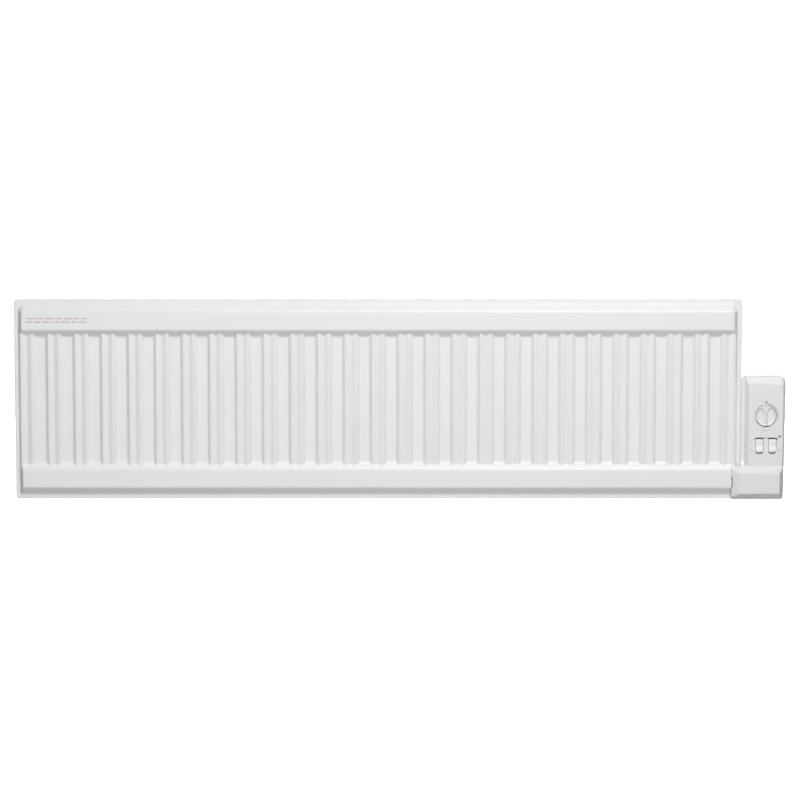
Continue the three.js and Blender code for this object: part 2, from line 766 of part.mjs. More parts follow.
function rockerKey(x) {
  const tilt = radians(KEY.tilt);
  const turned = KEY_SECTION.map(([depth, z]) => [
    -(KEY.pivot + depth * Math.cos(tilt) - z * Math.sin(tilt)),
    KEY.z + z * Math.cos(tilt) + depth * Math.sin(tilt),
  ]);
  return join(
    prism("x", turned, x - KEY.width / 2, x + KEY.width / 2),
    rod("x", 1.8, x - 5.4, x + 5.4, PIVOT_AXIS, 12),
  );
}

const switchBody = (x) =>
  cut(
    join(
      box(x - 6.5, x + 6.5, -5.4, 11, KEY.z - 12, KEY.z + 12),
      box(x - 2.5, x - 1.7, 10, 17, KEY.z - 9, KEY.z - 3), // rear tabs
      box(x - 2.5, x - 1.7, 10, 17, KEY.z + 3, KEY.z + 9),
    ),
    rod("x", 2.2, x - 8, x + 8, PIVOT_AXIS, 12),
  );

// ---------------------------------------------------------------- indicator and limit tab
const indicatorLens = () =>
  join(
    rod("y", LENS.radius, -BOX_FACE - 0.2, -8.2, LENS.at, 12),
    rod("y", 2.4, -9.7, -8.2, LENS.at, 12), // flange
  );

function indicatorLamp() {
  const [x, z] = LENS.at;
  return join(
    rod("y", 2.2, -7.8, 1, LENS.at, 12),
    ...[1, -1].map((offset) => rod("y", 0.6, 0, 8, [x, z + offset], 6)), // legs
  );
}

const limitTab = () =>
  join(
    box(579.1, 585.3, -BOX_FACE - 0.5, -8.5, 104.1, 107.2),
    box(577, 587.4, -9.7, -8.2, 102, 106.8), // flange
  );

// ---------------------------------------------------------------- terminals, cable, sensor
const TERMINAL_PITCH = 9;
const TERMINALS = [0, 1, 2, 3];

function terminalBlock() {
  const shift = (x, i) => x + i * TERMINAL_PITCH;
  return cut(
    join(
      box(563, 601, 20, BOX_BACK - WALL - GAP, 84, 98),
      ...TERMINALS.map((i) => box(shift(566, i), shift(571.5, i), 17, 21, 85.5, 96.5)),
    ),
    ...TERMINALS.map((i) => rod("y", 1.6, 15, 24, [shift(568.75, i), 91], 8)),
  );
}

const strainRelief = () =>
  cut(
    join(
      rod("y", 7, BOX_BACK - 8, BOX_BACK + 1, CABLE_AT),
      rod("y", 9, BOX_BACK + GAP, BOX_BACK + 2.5, CABLE_AT), // outer flange
      rod("y", 8.4, BOX_BACK - 8, BOX_BACK - WALL - GAP - 0.3, CABLE_AT, 8), // inner flange
    ),
    rod("y", 4.2, BOX_BACK - 10, BOX_BACK + 5, CABLE_AT, 12),
  );

// Out of the back of the box and down.
function supplyCable() {
  const [x, z] = CABLE_AT;
  const path = [
    [x, 21, z], [x, 29, z], [x, 36, z],
    [x, 40.6, z - 5], [x, 41, z - 14], [x, 41, 6],
  ];
  return tube(path, 3.6, 14, 10);
}

// Leads inside the box: name, material, (x, y, z) points of the path.
const LEADS = [
  ["lead_live_in", "brown", [
    [583.6, 19.4, 41.2], [584.4, 16, 43.4], [583, 14.5, 58],
    [572, 15.5, 62], [566.4, 16.2, 72], [567.6, 16.6, 83],
  ]],
  ["lead_neutral_in", "blue", [
    [580.4, 19.4, 41.2], [579.4, 16.4, 44], [576.5, 17.6, 58],
    [577.75, 17.6, 72], [577.75, 17.6, 83.6],
  ]],
  ["lead_earth", "green", [
    [582, 19.4, 38], [584, 16, 37], [596, 14, 46],
    [603.2, 13, 66], [603.4, 12.6, 90], [600, 9.4, 103.5],
  ]],
  ["lead_switched", "brown", [
    [570.3, 18.6, 75.4], [563, 21.5, 77], [559.5, 17, 100],
    [562, 22, 112], [569.8, 24, 117],
  ]],
  ["lead_element_live", "brown", [
    [572.5, 27.3, 135], [562, 27.3, 132], [558.5, 24, 104],
    [559, 15, 74], [572, 6, 52], [579.8, 1.2, 40],
  ]],
  ["lead_element_neutral", "blue", [
    [586.75, 16.4, 83], [588, 13, 64], [592, 5, 50],
    [590, 0, 34], [579.8, 0, 27.4],
  ]],
];
const LEAD_R = 1.1;

const BULB_AT = [602, 22]; // (x, y)
const CAPILLARY_PATH = [
  [...BULB_AT, 60.6], [603.5, 18, 76], [604, 27, 106],
  [599, 26, 120], [594, 24, 127], [590, 23.2, 128],
];

const sensingBulb = () =>
  join(rod("z", 3, 14, 58, BULB_AT, 12), rod("z", 1.4, 57, 60, BULB_AT, 8));

// Screw from below, through the cover into the base.
const coverScrew = (x) =>
  join(
    rod("z", 3, BOX_BOTTOM + 0.1, BOX_BOTTOM + 1.6, [x, COVER_SCREW.y], 12),
    rod("z", 1.6, BOX_BOTTOM + 1, 10, [x, COVER_SCREW.y], 8),
  );

// ---------------------------------------------------------------- assembly
const panelGroup = new THREE.Group();
panelGroup.add(
  piece("front_plate", pressing(-1), "painted"),
  piece("rear_plate", rearPlate(), "painted"),
  piece("heating_element", heatingElement(), "sheath"),
  piece("element_boss", elementBoss(), "painted"),
  piece("element_gasket", elementGasket(), "rubber"),
  piece("element_head", elementHead(), "brass"),
  piece("oil_fill_plug", plug(), "zinc"),
  piece("fill_plug_seal", plugSeal(), "copper"),
);

const knobGroup = new THREE.Group();
knobGroup.add(
  piece("thermostat_knob", knob(), "moulded"),
  piece("thermostat_shaft", thermostatShaft(), "zinc"),
);

const boxGroup = new THREE.Group();
boxGroup.position.x = BOX_X;
boxGroup.add(
  piece("control_box_cover", cover(), "moulded"),
  piece("control_box_base", base(), "moulded"),
  piece("box_mounting_plate", mountingPlate(), "zinc"),
  knobGroup,
  piece("thermostat_body", thermostatBody(), "nylon"),
  piece("thermal_cutout", thermalCutout(), "moulded_dark"),
  piece("sensing_bulb", sensingBulb(), "copper"),
  piece("capillary_tube", tube(CAPILLARY_PATH, 0.8, 12, 5), "copper"),
  piece("rocker_left", rockerKey(KEY.xs[0]), "moulded"),
  piece("rocker_right", rockerKey(KEY.xs[1]), "moulded"),
  piece("switch_body_left", switchBody(KEY.xs[0]), "moulded_dark"),
  piece("switch_body_right", switchBody(KEY.xs[1]), "moulded_dark"),
  piece("indicator_lens", indicatorLens(), "lens"),
  piece("indicator_lamp", indicatorLamp(), "glass"),
  piece("limit_tab", limitTab(), "moulded"),
  piece("terminal_block", terminalBlock(), "nylon"),
  piece("strain_relief", strainRelief(), "rubber"),
  piece("supply_cable", supplyCable(), "cable"),
  ...LEADS.map(([name, material, path]) => piece(name, tube(path, LEAD_R, 10, 6), material)),
  piece("earth_screw", earthScrew(), "brass"),
  piece("base_screw_upper", baseScrew(PILLARS[0]), "zinc"),
  piece("base_screw_lower", baseScrew(PILLARS[1]), "zinc"),
  piece("cover_screw_left", coverScrew(COVER_SCREW.xs[0]), "zinc"),
  piece("cover_screw_right", coverScrew(COVER_SCREW.xs[1]), "zinc"),
);

const heater = new THREE.Group();
heater.name = "panel_heater";
heater.position.copy(PANEL_ORIGIN);
heater.add(panelGroup, boxGroup, hanging("left", -BRACKET_X), hanging("right", BRACKET_X));

export default heater;
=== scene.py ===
"""A wall-hung panel heater: two ribbed steel pressings welded back to back, with a moulded
control box at the right end that carries a thermostat knob and two rocker keys.

Pieces are drawn in millimetres in the panel frame: x to the right from the panel's middle,
d in front of the weld seam (towards -Y), z up from the panel's bottom edge."""
import json
import math

import bmesh
import bpy
import numpy as np
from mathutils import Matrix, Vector


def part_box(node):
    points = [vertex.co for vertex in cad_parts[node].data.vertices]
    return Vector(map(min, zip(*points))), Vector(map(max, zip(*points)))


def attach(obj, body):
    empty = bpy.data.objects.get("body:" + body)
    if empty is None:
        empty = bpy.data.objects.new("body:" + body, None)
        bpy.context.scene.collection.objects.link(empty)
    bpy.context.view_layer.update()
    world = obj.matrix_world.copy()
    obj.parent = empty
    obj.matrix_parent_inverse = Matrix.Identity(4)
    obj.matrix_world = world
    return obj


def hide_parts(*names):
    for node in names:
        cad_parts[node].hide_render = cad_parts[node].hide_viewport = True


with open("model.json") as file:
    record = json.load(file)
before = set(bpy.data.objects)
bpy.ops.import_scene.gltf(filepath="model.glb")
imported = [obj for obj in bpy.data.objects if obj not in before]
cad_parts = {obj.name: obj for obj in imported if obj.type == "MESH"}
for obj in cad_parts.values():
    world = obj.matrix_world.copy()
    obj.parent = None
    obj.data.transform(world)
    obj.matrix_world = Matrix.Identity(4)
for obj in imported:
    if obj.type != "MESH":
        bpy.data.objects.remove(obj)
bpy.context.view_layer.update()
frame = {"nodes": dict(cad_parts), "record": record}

# ------------------------------------------------------------------ frame
plate_lo, plate_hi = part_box("front_plate")
MIDDLE_X = (plate_lo.x + plate_hi.x) / 2
SEAM_Y = plate_hi.y + 0.00015
BOTTOM_Z = plate_lo.z
PANEL_W, PANEL_H = 1095.6, 300.0
BOX_X = 1.1  # shift to the right shared by everything on the control box


def at(x, d, z):
    """World position of a panel-frame point."""
    return (MIDDLE_X + x / 1000, SEAM_Y - d / 1000, BOTTOM_Z + z / 1000)


# ------------------------------------------------------------------ shader helpers
def new_material(name):
    mat = bpy.data.materials.new(name)
    mat.use_nodes = True
    return mat, mat.node_tree, mat.node_tree.nodes["Principled BSDF"]


def object_coords(tree):
    return tree.nodes.new("ShaderNodeTexCoord").outputs["Object"]


def feed(tree, socket, source):
    """Links a socket to its source, or sets it when the source is a plain value."""
    if isinstance(source, bpy.types.NodeSocket):
        tree.links.new(source, socket)
    else:
        socket.default_value = source


def noise(tree, coords, scale, detail=2.0, rough=0.5, stretch=None):
    """Output factor of a noise texture; stretch scales its coordinates per axis."""
    texture = tree.nodes.new("ShaderNodeTexNoise")
    texture.inputs["Scale"].default_value = scale
    texture.inputs["Detail"].default_value = detail
    texture.inputs["Roughness"].default_value = rough
    if stretch is not None:
        mapping = tree.nodes.new("ShaderNodeMapping")
        mapping.inputs["Scale"].default_value = stretch
        tree.links.new(coords, mapping.inputs["Vector"])
        coords = mapping.outputs["Vector"]
    tree.links.new(coords, texture.inputs["Vector"])
    return texture.outputs["Fac"]


def remap(tree, source, span, to=(0.0, 1.0)):
    """Maps the span of the source linearly onto another range."""
    ranger = tree.nodes.new("ShaderNodeMapRange")
    ranger.inputs["From Min"].default_value = span[0]
    ranger.inputs["From Max"].default_value = span[1]
    ranger.inputs["To Min"].default_value = to[0]
    ranger.inputs["To Max"].default_value = to[1]
    tree.links.new(source, ranger.inputs["Value"])
    return ranger.outputs["Result"]


def calculate(tree, operation, first, second):
    maths = tree.nodes.new("ShaderNodeMath")
    maths.operation = operation
    feed(tree, maths.inputs[0], first)
    feed(tree, maths.inputs[1], second)
    return maths.outputs[0]


def mix_colour(tree, factor, first, second):
    mix = tree.nodes.new("ShaderNodeMix")
    mix.data_type = "RGBA"
    tree.links.new(factor, mix.inputs[0])
    for index, colour in ((6, first), (7, second)):
        if not isinstance(colour, bpy.types.NodeSocket):
            colour = (*colour, 1)
        feed(tree, mix.inputs[index], colour)
    return mix.outputs[2]


def add_bump(tree, bsdf, height, strength, height_mm):
    bump = tree.nodes.new("ShaderNodeBump")
    bump.inputs["Strength"].default_value = strength
    bump.inputs["Distance"].default_value = height_mm / 1000
    tree.links.new(height, bump.inputs["Height"])
    tree.links.new(bump.outputs["Normal"], bsdf.inputs["Normal"])


# ------------------------------------------------------------------ materials
def surface(name, colour, *, rough, grain, bump, bump_mm, spread, tint=0.03, metal=0.0, wear=0.0,
            wear_colour=None, coat=0.0, stretch=None, hollow_shade=0.0, sss=0.0):
    """A procedural finish. grain is the size of its texture in metres, bump and bump_mm its
    strength and height, spread the variation of roughness, tint the variation of colour,
    wear how far edges show wear_colour, hollow_shade how far painted shade darkens the hollows."""
    mat, tree, bsdf = new_material(name)
    coords = object_coords(tree)
    fine = noise(tree, coords, scale=1.0 / grain, detail=3.0, rough=0.55, stretch=stretch)
    broad = noise(tree, coords, scale=9.0, detail=3.0, rough=0.6)
    mid = noise(tree, coords, scale=60.0, detail=4.0, rough=0.6, stretch=stretch)

    colour = np.array(colour)
    light = np.minimum(colour * (1 + tint * 0.6), 1.0)
    base = mix_colour(tree, remap(tree, broad, span=(0.3, 0.7)), colour * (1 - tint), light)
    base = mix_colour(tree, remap(tree, mid, span=(0.35, 0.75), to=(0, 0.5)), base,
                      colour * (1 - tint * 0.8))
    roughness = calculate(
        tree, "ADD",
        remap(tree, mid, span=(0.3, 0.7), to=(rough - spread, rough + spread)),
        remap(tree, fine, span=(0.3, 0.7), to=(-spread * 0.4, spread * 0.4)))
    tree.links.new(roughness, bsdf.inputs["Roughness"])
    if wear > 0:
        pointiness = tree.nodes.new("ShaderNodeNewGeometry").outputs["Pointiness"]
        worn = calculate(tree, "MULTIPLY",
                         remap(tree, pointiness, span=(0.52, 0.60), to=(0, wear)),
                         remap(tree, mid, span=(0.4, 0.62)))
        base = mix_colour(tree, worn, base, wear_colour)
    # Painted shade: hollows, where pointiness is low, are darkened towards a darker copy of the
    # colour.
    if hollow_shade > 0:
        pointiness = tree.nodes.new("ShaderNodeNewGeometry").outputs["Pointiness"]
        hollow = remap(tree, pointiness, span=(0.49, 0.44), to=(0, hollow_shade))
        base = mix_colour(tree, hollow, base, colour * 0.8)
    tree.links.new(base, bsdf.inputs["Base Color"])
    bsdf.inputs["Metallic"].default_value = metal
    if coat:
        bsdf.inputs["Coat Weight"].default_value = coat
        bsdf.inputs["Coat Roughness"].default_value = 0.25
    if sss:
        bsdf.inputs["Subsurface Weight"].default_value = sss
        bsdf.inputs["Subsurface Scale"].default_value = 0.001
    add_bump(tree, bsdf, fine, strength=bump, height_mm=bump_mm)
    return mat


def print_and_shade(name, colour, rough=0.5, spread=0.08, tint=0.03):
    """Flat marks: print, plus the painted shade on the scale recess's floor and the painted
    shadow in the foot's notch.
    """
    return surface(name, colour, rough=rough, grain=0.0005, bump=0.1, bump_mm=0.005,
                   spread=spread, tint=tint)


def insulation(name, colour):
    return surface(name, colour, rough=0.4, grain=0.0007, bump=0.1, bump_mm=0.01, spread=0.08,
                   tint=0.1)


def zinc(name, colour=(0.60, 0.62, 0.63), rough=0.36):
    """Zinc-plated sheet: crystals of slightly different shade, rolling lines, dull scuffs."""
    mat, tree, bsdf = new_material(name)
    coords = object_coords(tree)
    crystals = tree.nodes.new("ShaderNodeTexVoronoi")
    crystals.inputs["Scale"].default_value = 260.0
    crystals.inputs["Randomness"].default_value = 1.0
    tree.links.new(coords, crystals.inputs["Vector"])
    lines = noise(tree, coords, scale=900.0, stretch=(1.0, 1.0, 0.04))
    scuff = noise(tree, coords, scale=45.0, detail=5.0, rough=0.65)
    shades = tree.nodes.new("ShaderNodeSeparateColor")
    tree.links.new(crystals.outputs["Color"], shades.inputs[0])

    colour = np.array(colour)
    base = mix_colour(tree, remap(tree, shades.outputs[0], span=(0, 1), to=(0, 0.55)),
                      colour, colour * 0.82)
    base = mix_colour(tree, remap(tree, scuff, span=(0.52, 0.72), to=(0, 0.5)), base,
                      colour * 0.72)
    tree.links.new(base, bsdf.inputs["Base Color"])
    roughness = calculate(
        tree, "ADD",
        remap(tree, shades.outputs[1], span=(0, 1), to=(rough - 0.05, rough + 0.07)),
        remap(tree, scuff, span=(0.4, 0.7), to=(0, 0.14)))
    tree.links.new(roughness, bsdf.inputs["Roughness"])
    bsdf.inputs["Metallic"].default_value = 1.0
    add_bump(tree, bsdf, lines, strength=0.25, height_mm=0.01)
    return mat


def green_yellow(name, green=(0.10, 0.33, 0.04), yellow=(0.72, 0.62, 0.04)):
    """Striped insulation."""
    mat, tree, bsdf = new_material(name)
    coords = object_coords(tree)
    stripes = tree.nodes.new("ShaderNodeTexWave")
    stripes.wave_type = "BANDS"
    stripes.bands_direction = "DIAGONAL"
    stripes.inputs["Scale"].default_value = 60.0
    stripes.inputs["Distortion"].default_value = 0.4
    tree.links.new(coords, stripes.inputs["Vector"])
    striped = mix_colour(tree, remap(tree, stripes.outputs["Fac"], span=(0.66, 0.7)),
                         green, yellow)
    tree.links.new(striped, bsdf.inputs["Base Color"])
    fine = noise(tree, coords, scale=900.0)
    tree.links.new(remap(tree, fine, span=(0.3, 0.7), to=(0.34, 0.48)),
                   bsdf.inputs["Roughness"])
    add_bump(tree, bsdf, fine, strength=0.1, height_mm=0.01)
    return mat


# by material slot, then the extra finishes of single pieces
MATERIALS = {
    # The powder coat and the white ABS darken in their hollows: painted shade.
    "painted_panel": surface(
        "powder_coat", (0.805, 0.809, 0.816), rough=0.40, grain=0.0011, bump=0.30,
        bump_mm=0.02, spread=0.04, tint=0.008, hollow_shade=0.15),
    "white_moulding": surface(
        "white_abs", (0.762, 0.770, 0.779), rough=0.48, grain=0.00028, bump=0.22,
        bump_mm=0.012, spread=0.05, tint=0.008, hollow_shade=0.12),
    "white_gloss_key": surface(
        "white_key", (0.815, 0.818, 0.812), rough=0.30, grain=0.0009, bump=0.05,
        bump_mm=0.005, spread=0.05, tint=0.01),
    "dark_moulding": surface(
        "dark_moulding", (0.07, 0.075, 0.08), rough=0.55, grain=0.0004, bump=0.3,
        bump_mm=0.015, spread=0.08, tint=0.15, wear=0.5, wear_colour=(0.16, 0.165, 0.17)),
    "cream_nylon": surface(
        "cream_nylon", (0.70, 0.67, 0.59), rough=0.5, grain=0.0006, bump=0.15,
        bump_mm=0.01, spread=0.07, tint=0.06, sss=0.08),
    "zinc_steel": zinc("zinc_plate"),
    "brass": surface(
        "turned_brass", (0.72, 0.56, 0.28), rough=0.32, metal=1.0, grain=0.0008, bump=0.2,
        bump_mm=0.008, spread=0.1, tint=0.12, wear=0.4, wear_colour=(0.86, 0.72, 0.42),
        stretch=(0.05, 1, 1)),
    "copper": surface(
        "drawn_copper", (0.66, 0.37, 0.22), rough=0.35, metal=1.0, grain=0.001, bump=0.2,
        bump_mm=0.008, spread=0.12, tint=0.2, stretch=(1, 1, 0.05)),
    "element_sheath": surface(
        "heated_steel", (0.42, 0.41, 0.39), rough=0.42, metal=1.0, grain=0.001, bump=0.25,
        bump_mm=0.01, spread=0.12, tint=0.25, stretch=(0.05, 1, 1)),
    "black_rubber": surface(
        "black_rubber", (0.03, 0.03, 0.032), rough=0.75, grain=0.0006, bump=0.4,
        bump_mm=0.02, spread=0.1, tint=0.3),
    "lens_red": surface(
        "tinted_lens", (0.035, 0.028, 0.026), rough=0.18, grain=0.001, bump=0.02,
        bump_mm=0.003, spread=0.03, tint=0.1, coat=0.6),
    "lamp_glass": surface(
        "lamp_glass", (0.80, 0.76, 0.70), rough=0.08, grain=0.002, bump=0.02,
        bump_mm=0.003, spread=0.02, tint=0.03),
    "cable_sheath": surface(
        "pvc_sheath", (0.74, 0.75, 0.75), rough=0.45, grain=0.0007, bump=0.2,
        bump_mm=0.01, spread=0.08, tint=0.04),
    "lead_brown": insulation("brown_insulation", (0.20, 0.09, 0.04)),
    "lead_blue": insulation("blue_insulation", (0.04, 0.13, 0.42)),
    "lead_green": green_yellow("green_yellow_insulation"),
    "print_red": print_and_shade("faded_red_print", (0.62, 0.33, 0.33), spread=0.05, tint=0.2),
    "print_grey": print_and_shade("grey_print", (0.42, 0.43, 0.44)),
    # A mid grey for the floor of the crescent scale: painted shade of the recess.
    "scale_painted_shade": print_and_shade("scale_recess_shade", (0.57, 0.58, 0.59)),
    # A brighter copy of the white moulding for the tab: painted highlight.
    "tab_painted_highlight": surface(
        "tab_painted_highlight", (0.88, 0.88, 0.87), rough=0.35, grain=0.0006, bump=0.05,
        bump_mm=0.005, spread=0.05),
    "print_faint": print_and_shade("faint_print", (0.66, 0.67, 0.68)),
    # A dark grey for the sheet in the foot's notch: painted shadow.
    "notch_painted_shadow": print_and_shade("notch_painted_shadow", (0.22, 0.22, 0.225), rough=0.7),
    "print_dark": print_and_shade("dark_print", (0.05, 0.05, 0.055), spread=0.05, tint=0.1),
}

# ------------------------------------------------------------------ mesh helpers
scene = bpy.context.scene


def link_object(name, data):
    ob = bpy.data.objects.new(name, data)
    scene.collection.objects.link(ob)
    return ob


def solid(name, verts, faces):
    """An object of world points whose faces are turned outwards."""
    mesh = bpy.data.meshes.new(name)
    mesh.from_pydata([tuple(v) for v in verts], [], faces)
    mesh.validate()
    mesh.update()
    ob = link_object(name, mesh)
    bm = bmesh.new()
    bm.from_mesh(mesh)
    bmesh.ops.recalc_face_normals(bm, faces=bm.faces)
    bm.to_mesh(mesh)
    bm.free()
    return ob


def shade(ob, angle):
    """Smooth shading with edges sharper than the angle kept."""
    mesh = ob.data
    mesh.polygons.foreach_set("use_smooth", [True] * len(mesh.polygons))
    mesh.set_sharp_from_angle(angle=math.radians(angle))
    mesh.update()


def finish_piece(ob, body, slot, *replaced, angle=30.0, material=None):
    """Gives a piece its material, chosen by its slot unless another is named, smooth shading and
    its body, and hides the CAD nodes it replaces.
    """
    ob.data.materials.clear()
    ob.data.materials.append(MATERIALS[material or slot])
    shade(ob, angle)
    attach(ob, body)
    if replaced:
        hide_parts(*replaced)
    return ob


def bake(ob):
    """Applies the modifiers."""
    graph = bpy.context.evaluated_depsgraph_get()
    mesh = bpy.data.meshes.new_from_object(ob.evaluated_get(graph), depsgraph=graph)
    old = ob.data
    ob.modifiers.clear()
    ob.data = mesh
    bpy.data.meshes.remove(old)


def boolean(ob, tool, operation):
    modifier = ob.modifiers.new("b", "BOOLEAN")
    modifier.operation = operation
    modifier.solver = "EXACT"
    modifier.object = tool
    bake(ob)
    bpy.data.objects.remove(tool)


def cut(ob, tool):
    boolean(ob, tool, "DIFFERENCE")


def join(ob, tool):
    boolean(ob, tool, "UNION")


def bevel(ob, width_mm, segments=3, angle=28.0, apply=True):
    modifier = ob.modifiers.new("bevel", "BEVEL")
    modifier.width = width_mm / 1000
    modifier.segments = segments
    modifier.limit_method = "ANGLE"
    modifier.angle_limit = math.radians(angle)
    modifier.miter_outer = "MITER_ARC"
    if apply:
        bake(ob)
    return ob


def weight_normals(ob):
    ob.modifiers.new("wn", "WEIGHTED_NORMAL").keep_sharp = True


def tidy(ob):
    """Merges what the booleans left a hair apart and closes the slits between, so the mesh
    is one closed surface."""
    bm = bmesh.new()
    bm.from_mesh(ob.data)
    bmesh.ops.remove_doubles(bm, verts=bm.verts[:], dist=8e-6)
    bmesh.ops.dissolve_degenerate(bm, edges=bm.edges[:], dist=4e-6)
    open_edges = [e for e in bm.edges if len(e.link_faces) == 1]
    if open_edges:
        bmesh.ops.holes_fill(bm, edges=open_edges, sides=12)
    loose = [e for e in bm.edges if not e.link_faces]
    if loose:
        bmesh.ops.delete(bm, geom=loose, context="EDGES")
    bmesh.ops.recalc_face_normals(bm, faces=bm.faces[:])
    bm.to_mesh(ob.data)
    bm.free()
    ob.data.update()


# ------------------------------------------------------------------ outlines and solids
def quarter(x, z, radius, start, steps):
    """Points of a quarter circle, anticlockwise from the start angle in degrees."""
    angles = [math.radians(start + 90 * i / steps) for i in range(steps + 1)]
    return [(x + radius * math.cos(a), z + radius * math.sin(a)) for a in angles]


def circle(x, z, radius, count):
    angles = [2 * math.pi * i / count for i in range(count)]
    return [(x + radius * math.cos(a), z + radius * math.sin(a)) for a in angles]


def rounded_rect(x0, x1, z0, z1, radii, steps=8):
    """Outline with radii for the corners lower-left, lower-right, upper-right, upper-left."""
    corners = ((x0, z0, 1, 1, 180), (x1, z0, -1, 1, 270), (x1, z1, -1, -1, 0),
               (x0, z1, 1, -1, 90))
    points = []
    for (x, z, side_x, side_z, start), r in zip(corners, radii):
        if r <= 0:
            points.append((x, z))
        else:
            points += quarter(x + side_x * r, z + side_z * r, r, start, steps)
    return points


def hull(name, points):
    """Convex solid of panel-frame points."""
    bm = bmesh.new()
    verts = [bm.verts.new(at(*p)) for p in points]
    result = bmesh.ops.convex_hull(bm, input=verts, use_existing_faces=False)
    spare = set(result["geom_interior"]) | set(result["geom_unused"])
    spare = [g for g in spare if isinstance(g, bmesh.types.BMVert)]
    bmesh.ops.delete(bm, geom=[v for v in spare if v.is_valid], context="VERTS")
    bmesh.ops.remove_doubles(bm, verts=bm.verts, dist=1e-7)
    bmesh.ops.dissolve_limit(bm, angle_limit=math.radians(0.6), verts=bm.verts,
                             edges=bm.edges)
    bmesh.ops.recalc_face_normals(bm, faces=bm.faces)
    mesh = bpy.data.meshes.new(name)
    bm.to_mesh(mesh)
    bm.free()
    return link_object(name, mesh)


def block(name, xs, ds, zs):
    """Box between two values on each axis."""
    return hull(name, [(x, d, z) for x in xs for d in ds for z in zs])


def rod(name, radius, start, end, segments=48, end_radius=None):
    """A turned solid between two panel-frame points."""
    start, end = Vector(at(*start)), Vector(at(*end))
    axis = (end - start).normalized()
    side = axis.orthogonal().normalized()
    up = axis.cross(side)
    verts, faces = [], []
    for centre, r in ((start, radius), (end, radius if end_radius is None else end_radius)):
        for i in range(segments):
            t = 2 * math.pi * i / segments
            verts.append(centre + (side * math.cos(t) + up * math.sin(t)) * r / 1000)
    for i in range(segments):
        j = (i + 1) % segments
        faces.append((i, j, segments + j, segments + i))
    faces.append(tuple(range(segments))[::-1])
    faces.append(tuple(range(segments, 2 * segments)))
    return solid(name, verts, faces)


def peg(name, radius, x, z, d0, d1, segments, end_radius=None):
    """A rod square to the panel."""
    return rod(name, radius, (x, d0, z), (x, d1, z), segments, end_radius)


def prism_faces(count, first=0):
    faces = [tuple(range(first, first + count))[::-1],
             tuple(range(first + count, first + 2 * count))]
    for i in range(count):
        j = (i + 1) % count
        faces.append((first + i, first + j, first + count + j, first + count + i))
    return faces


def prism_x(name, section, x0, x1):
    """A (d, z) section swept along x."""
    verts = [at(x, d, z) for x in (x0, x1) for d, z in section]
    return solid(name, verts, prism_faces(len(section)))


def prism_d(name, outline, d0, d1):
    """An (x, z) outline swept in depth."""
    verts = [at(x, d, z) for d in (d0, d1) for x, z in outline]
    return solid(name, verts, prism_faces(len(outline)))


# ------------------------------------------------------------------ the pressings
LAND = 1.35  # depth of the flat sheet between the ribs and round the edge
RIB_PITCH, RIB_COUNT, RIB_H = 40.6, 27, 4.3
RIB_HALF = (RIB_COUNT - 1) / 2 * RIB_PITCH  # middle of the panel to the outermost rib
HEADER_D = 10.0
# the header's slopes, from the panel's edge: rise starts, rise ends, fall starts, fall ends
HEADER_Z = (7.2, 17.8, 46.0, 56.0)
HEADER_X, HEADER_END = PANEL_W / 2 - 6.0, 5.4  # where the end slope starts, and its length
END_L, END_R = 1.3, 0.8  # how far the drawn ends stop short of the pressing's nominal ones
PULL_X = 542.5  # from here out the grid is drawn in by END_L or END_R


def smooth_min(a, b, blend):
    h = np.maximum(blend - np.abs(a - b), 0) / blend
    return np.minimum(a, b) - h * h * blend * 0.25


def smooth_max(a, b, blend):
    return -smooth_min(-a, -b, blend)


def rib_profile():
    """Rib height over x, with softened corners."""
    xs, heights = [-600.0], [0.0]
    for i in range(RIB_COUNT):
        # foot and shoulder of each flank; the outermost flanks are wider
        left = (13.2, 8.9) if i else (13.4, 9.9)
        right = (13.2, 8.9) if i < RIB_COUNT - 1 else (13.6, 10.0)
        # (offset from the rib's middle, share of its height)
        stations = [(-left[0], 0), (-left[1], 1), (-5.7, 1), (-0.8, 0.5),
                    (0.8, 0.5), (5.9, 1), (right[1], 1), (right[0], 0)]
        for x, share in stations:
            xs.append(-RIB_HALF + i * RIB_PITCH + x)
            heights.append(share * RIB_H)
    xs.append(600.0)
    heights.append(0.0)
    step, softness = 0.1, 0.62
    grid = np.arange(-600, 600.01, step)
    kernel = np.exp(-0.5 * (np.arange(-60, 61) * step / softness) ** 2)
    return grid, np.convolve(np.interp(grid, xs, heights), kernel / kernel.sum(), "same")


RIB_X, RIB_HEIGHTS = rib_profile()


def header_depth(x, edge_distance, clip_corners):
    """Depth of one header; edge_distance is the height from its own long edge."""
    blend = 1.7
    depth = HEADER_D - LAND
    u = HEADER_X - np.where(x < 0, END_L, END_R) - np.abs(x)
    v = edge_distance - HEADER_Z[0]
    rise = LAND + v * (depth / (HEADER_Z[1] - HEADER_Z[0]))
    fall = LAND + (HEADER_Z[3] - edge_distance) * (depth / (HEADER_Z[3] - HEADER_Z[2]))
    end = LAND + u * (depth / HEADER_END)
    h = smooth_min(rise, end, blend)
    if clip_corners:
        # a gentle facet takes off the outer corners
        h = smooth_min(h, LAND + 5.63 * (u / 7.0 + v / 7.5 - 1), 1.2)
    h = smooth_min(smooth_min(h, fall, blend), HEADER_D, blend)
    return smooth_max(h, LAND, blend)


def skin_depth(x, z):
    """Depth of the pressing's outer face over (x, z)."""
    rib = np.interp(x, RIB_X, RIB_HEIGHTS) + LAND
    rib = np.where((z > 30) & (z < PANEL_H - 30), rib, LAND)
    headers = np.maximum(header_depth(x, z + 1.2, False), header_depth(x, PANEL_H - z, True))
    # the soft rib corner never sinks below the land
    return np.maximum(smooth_max(headers, rib, 1.3), LAND)


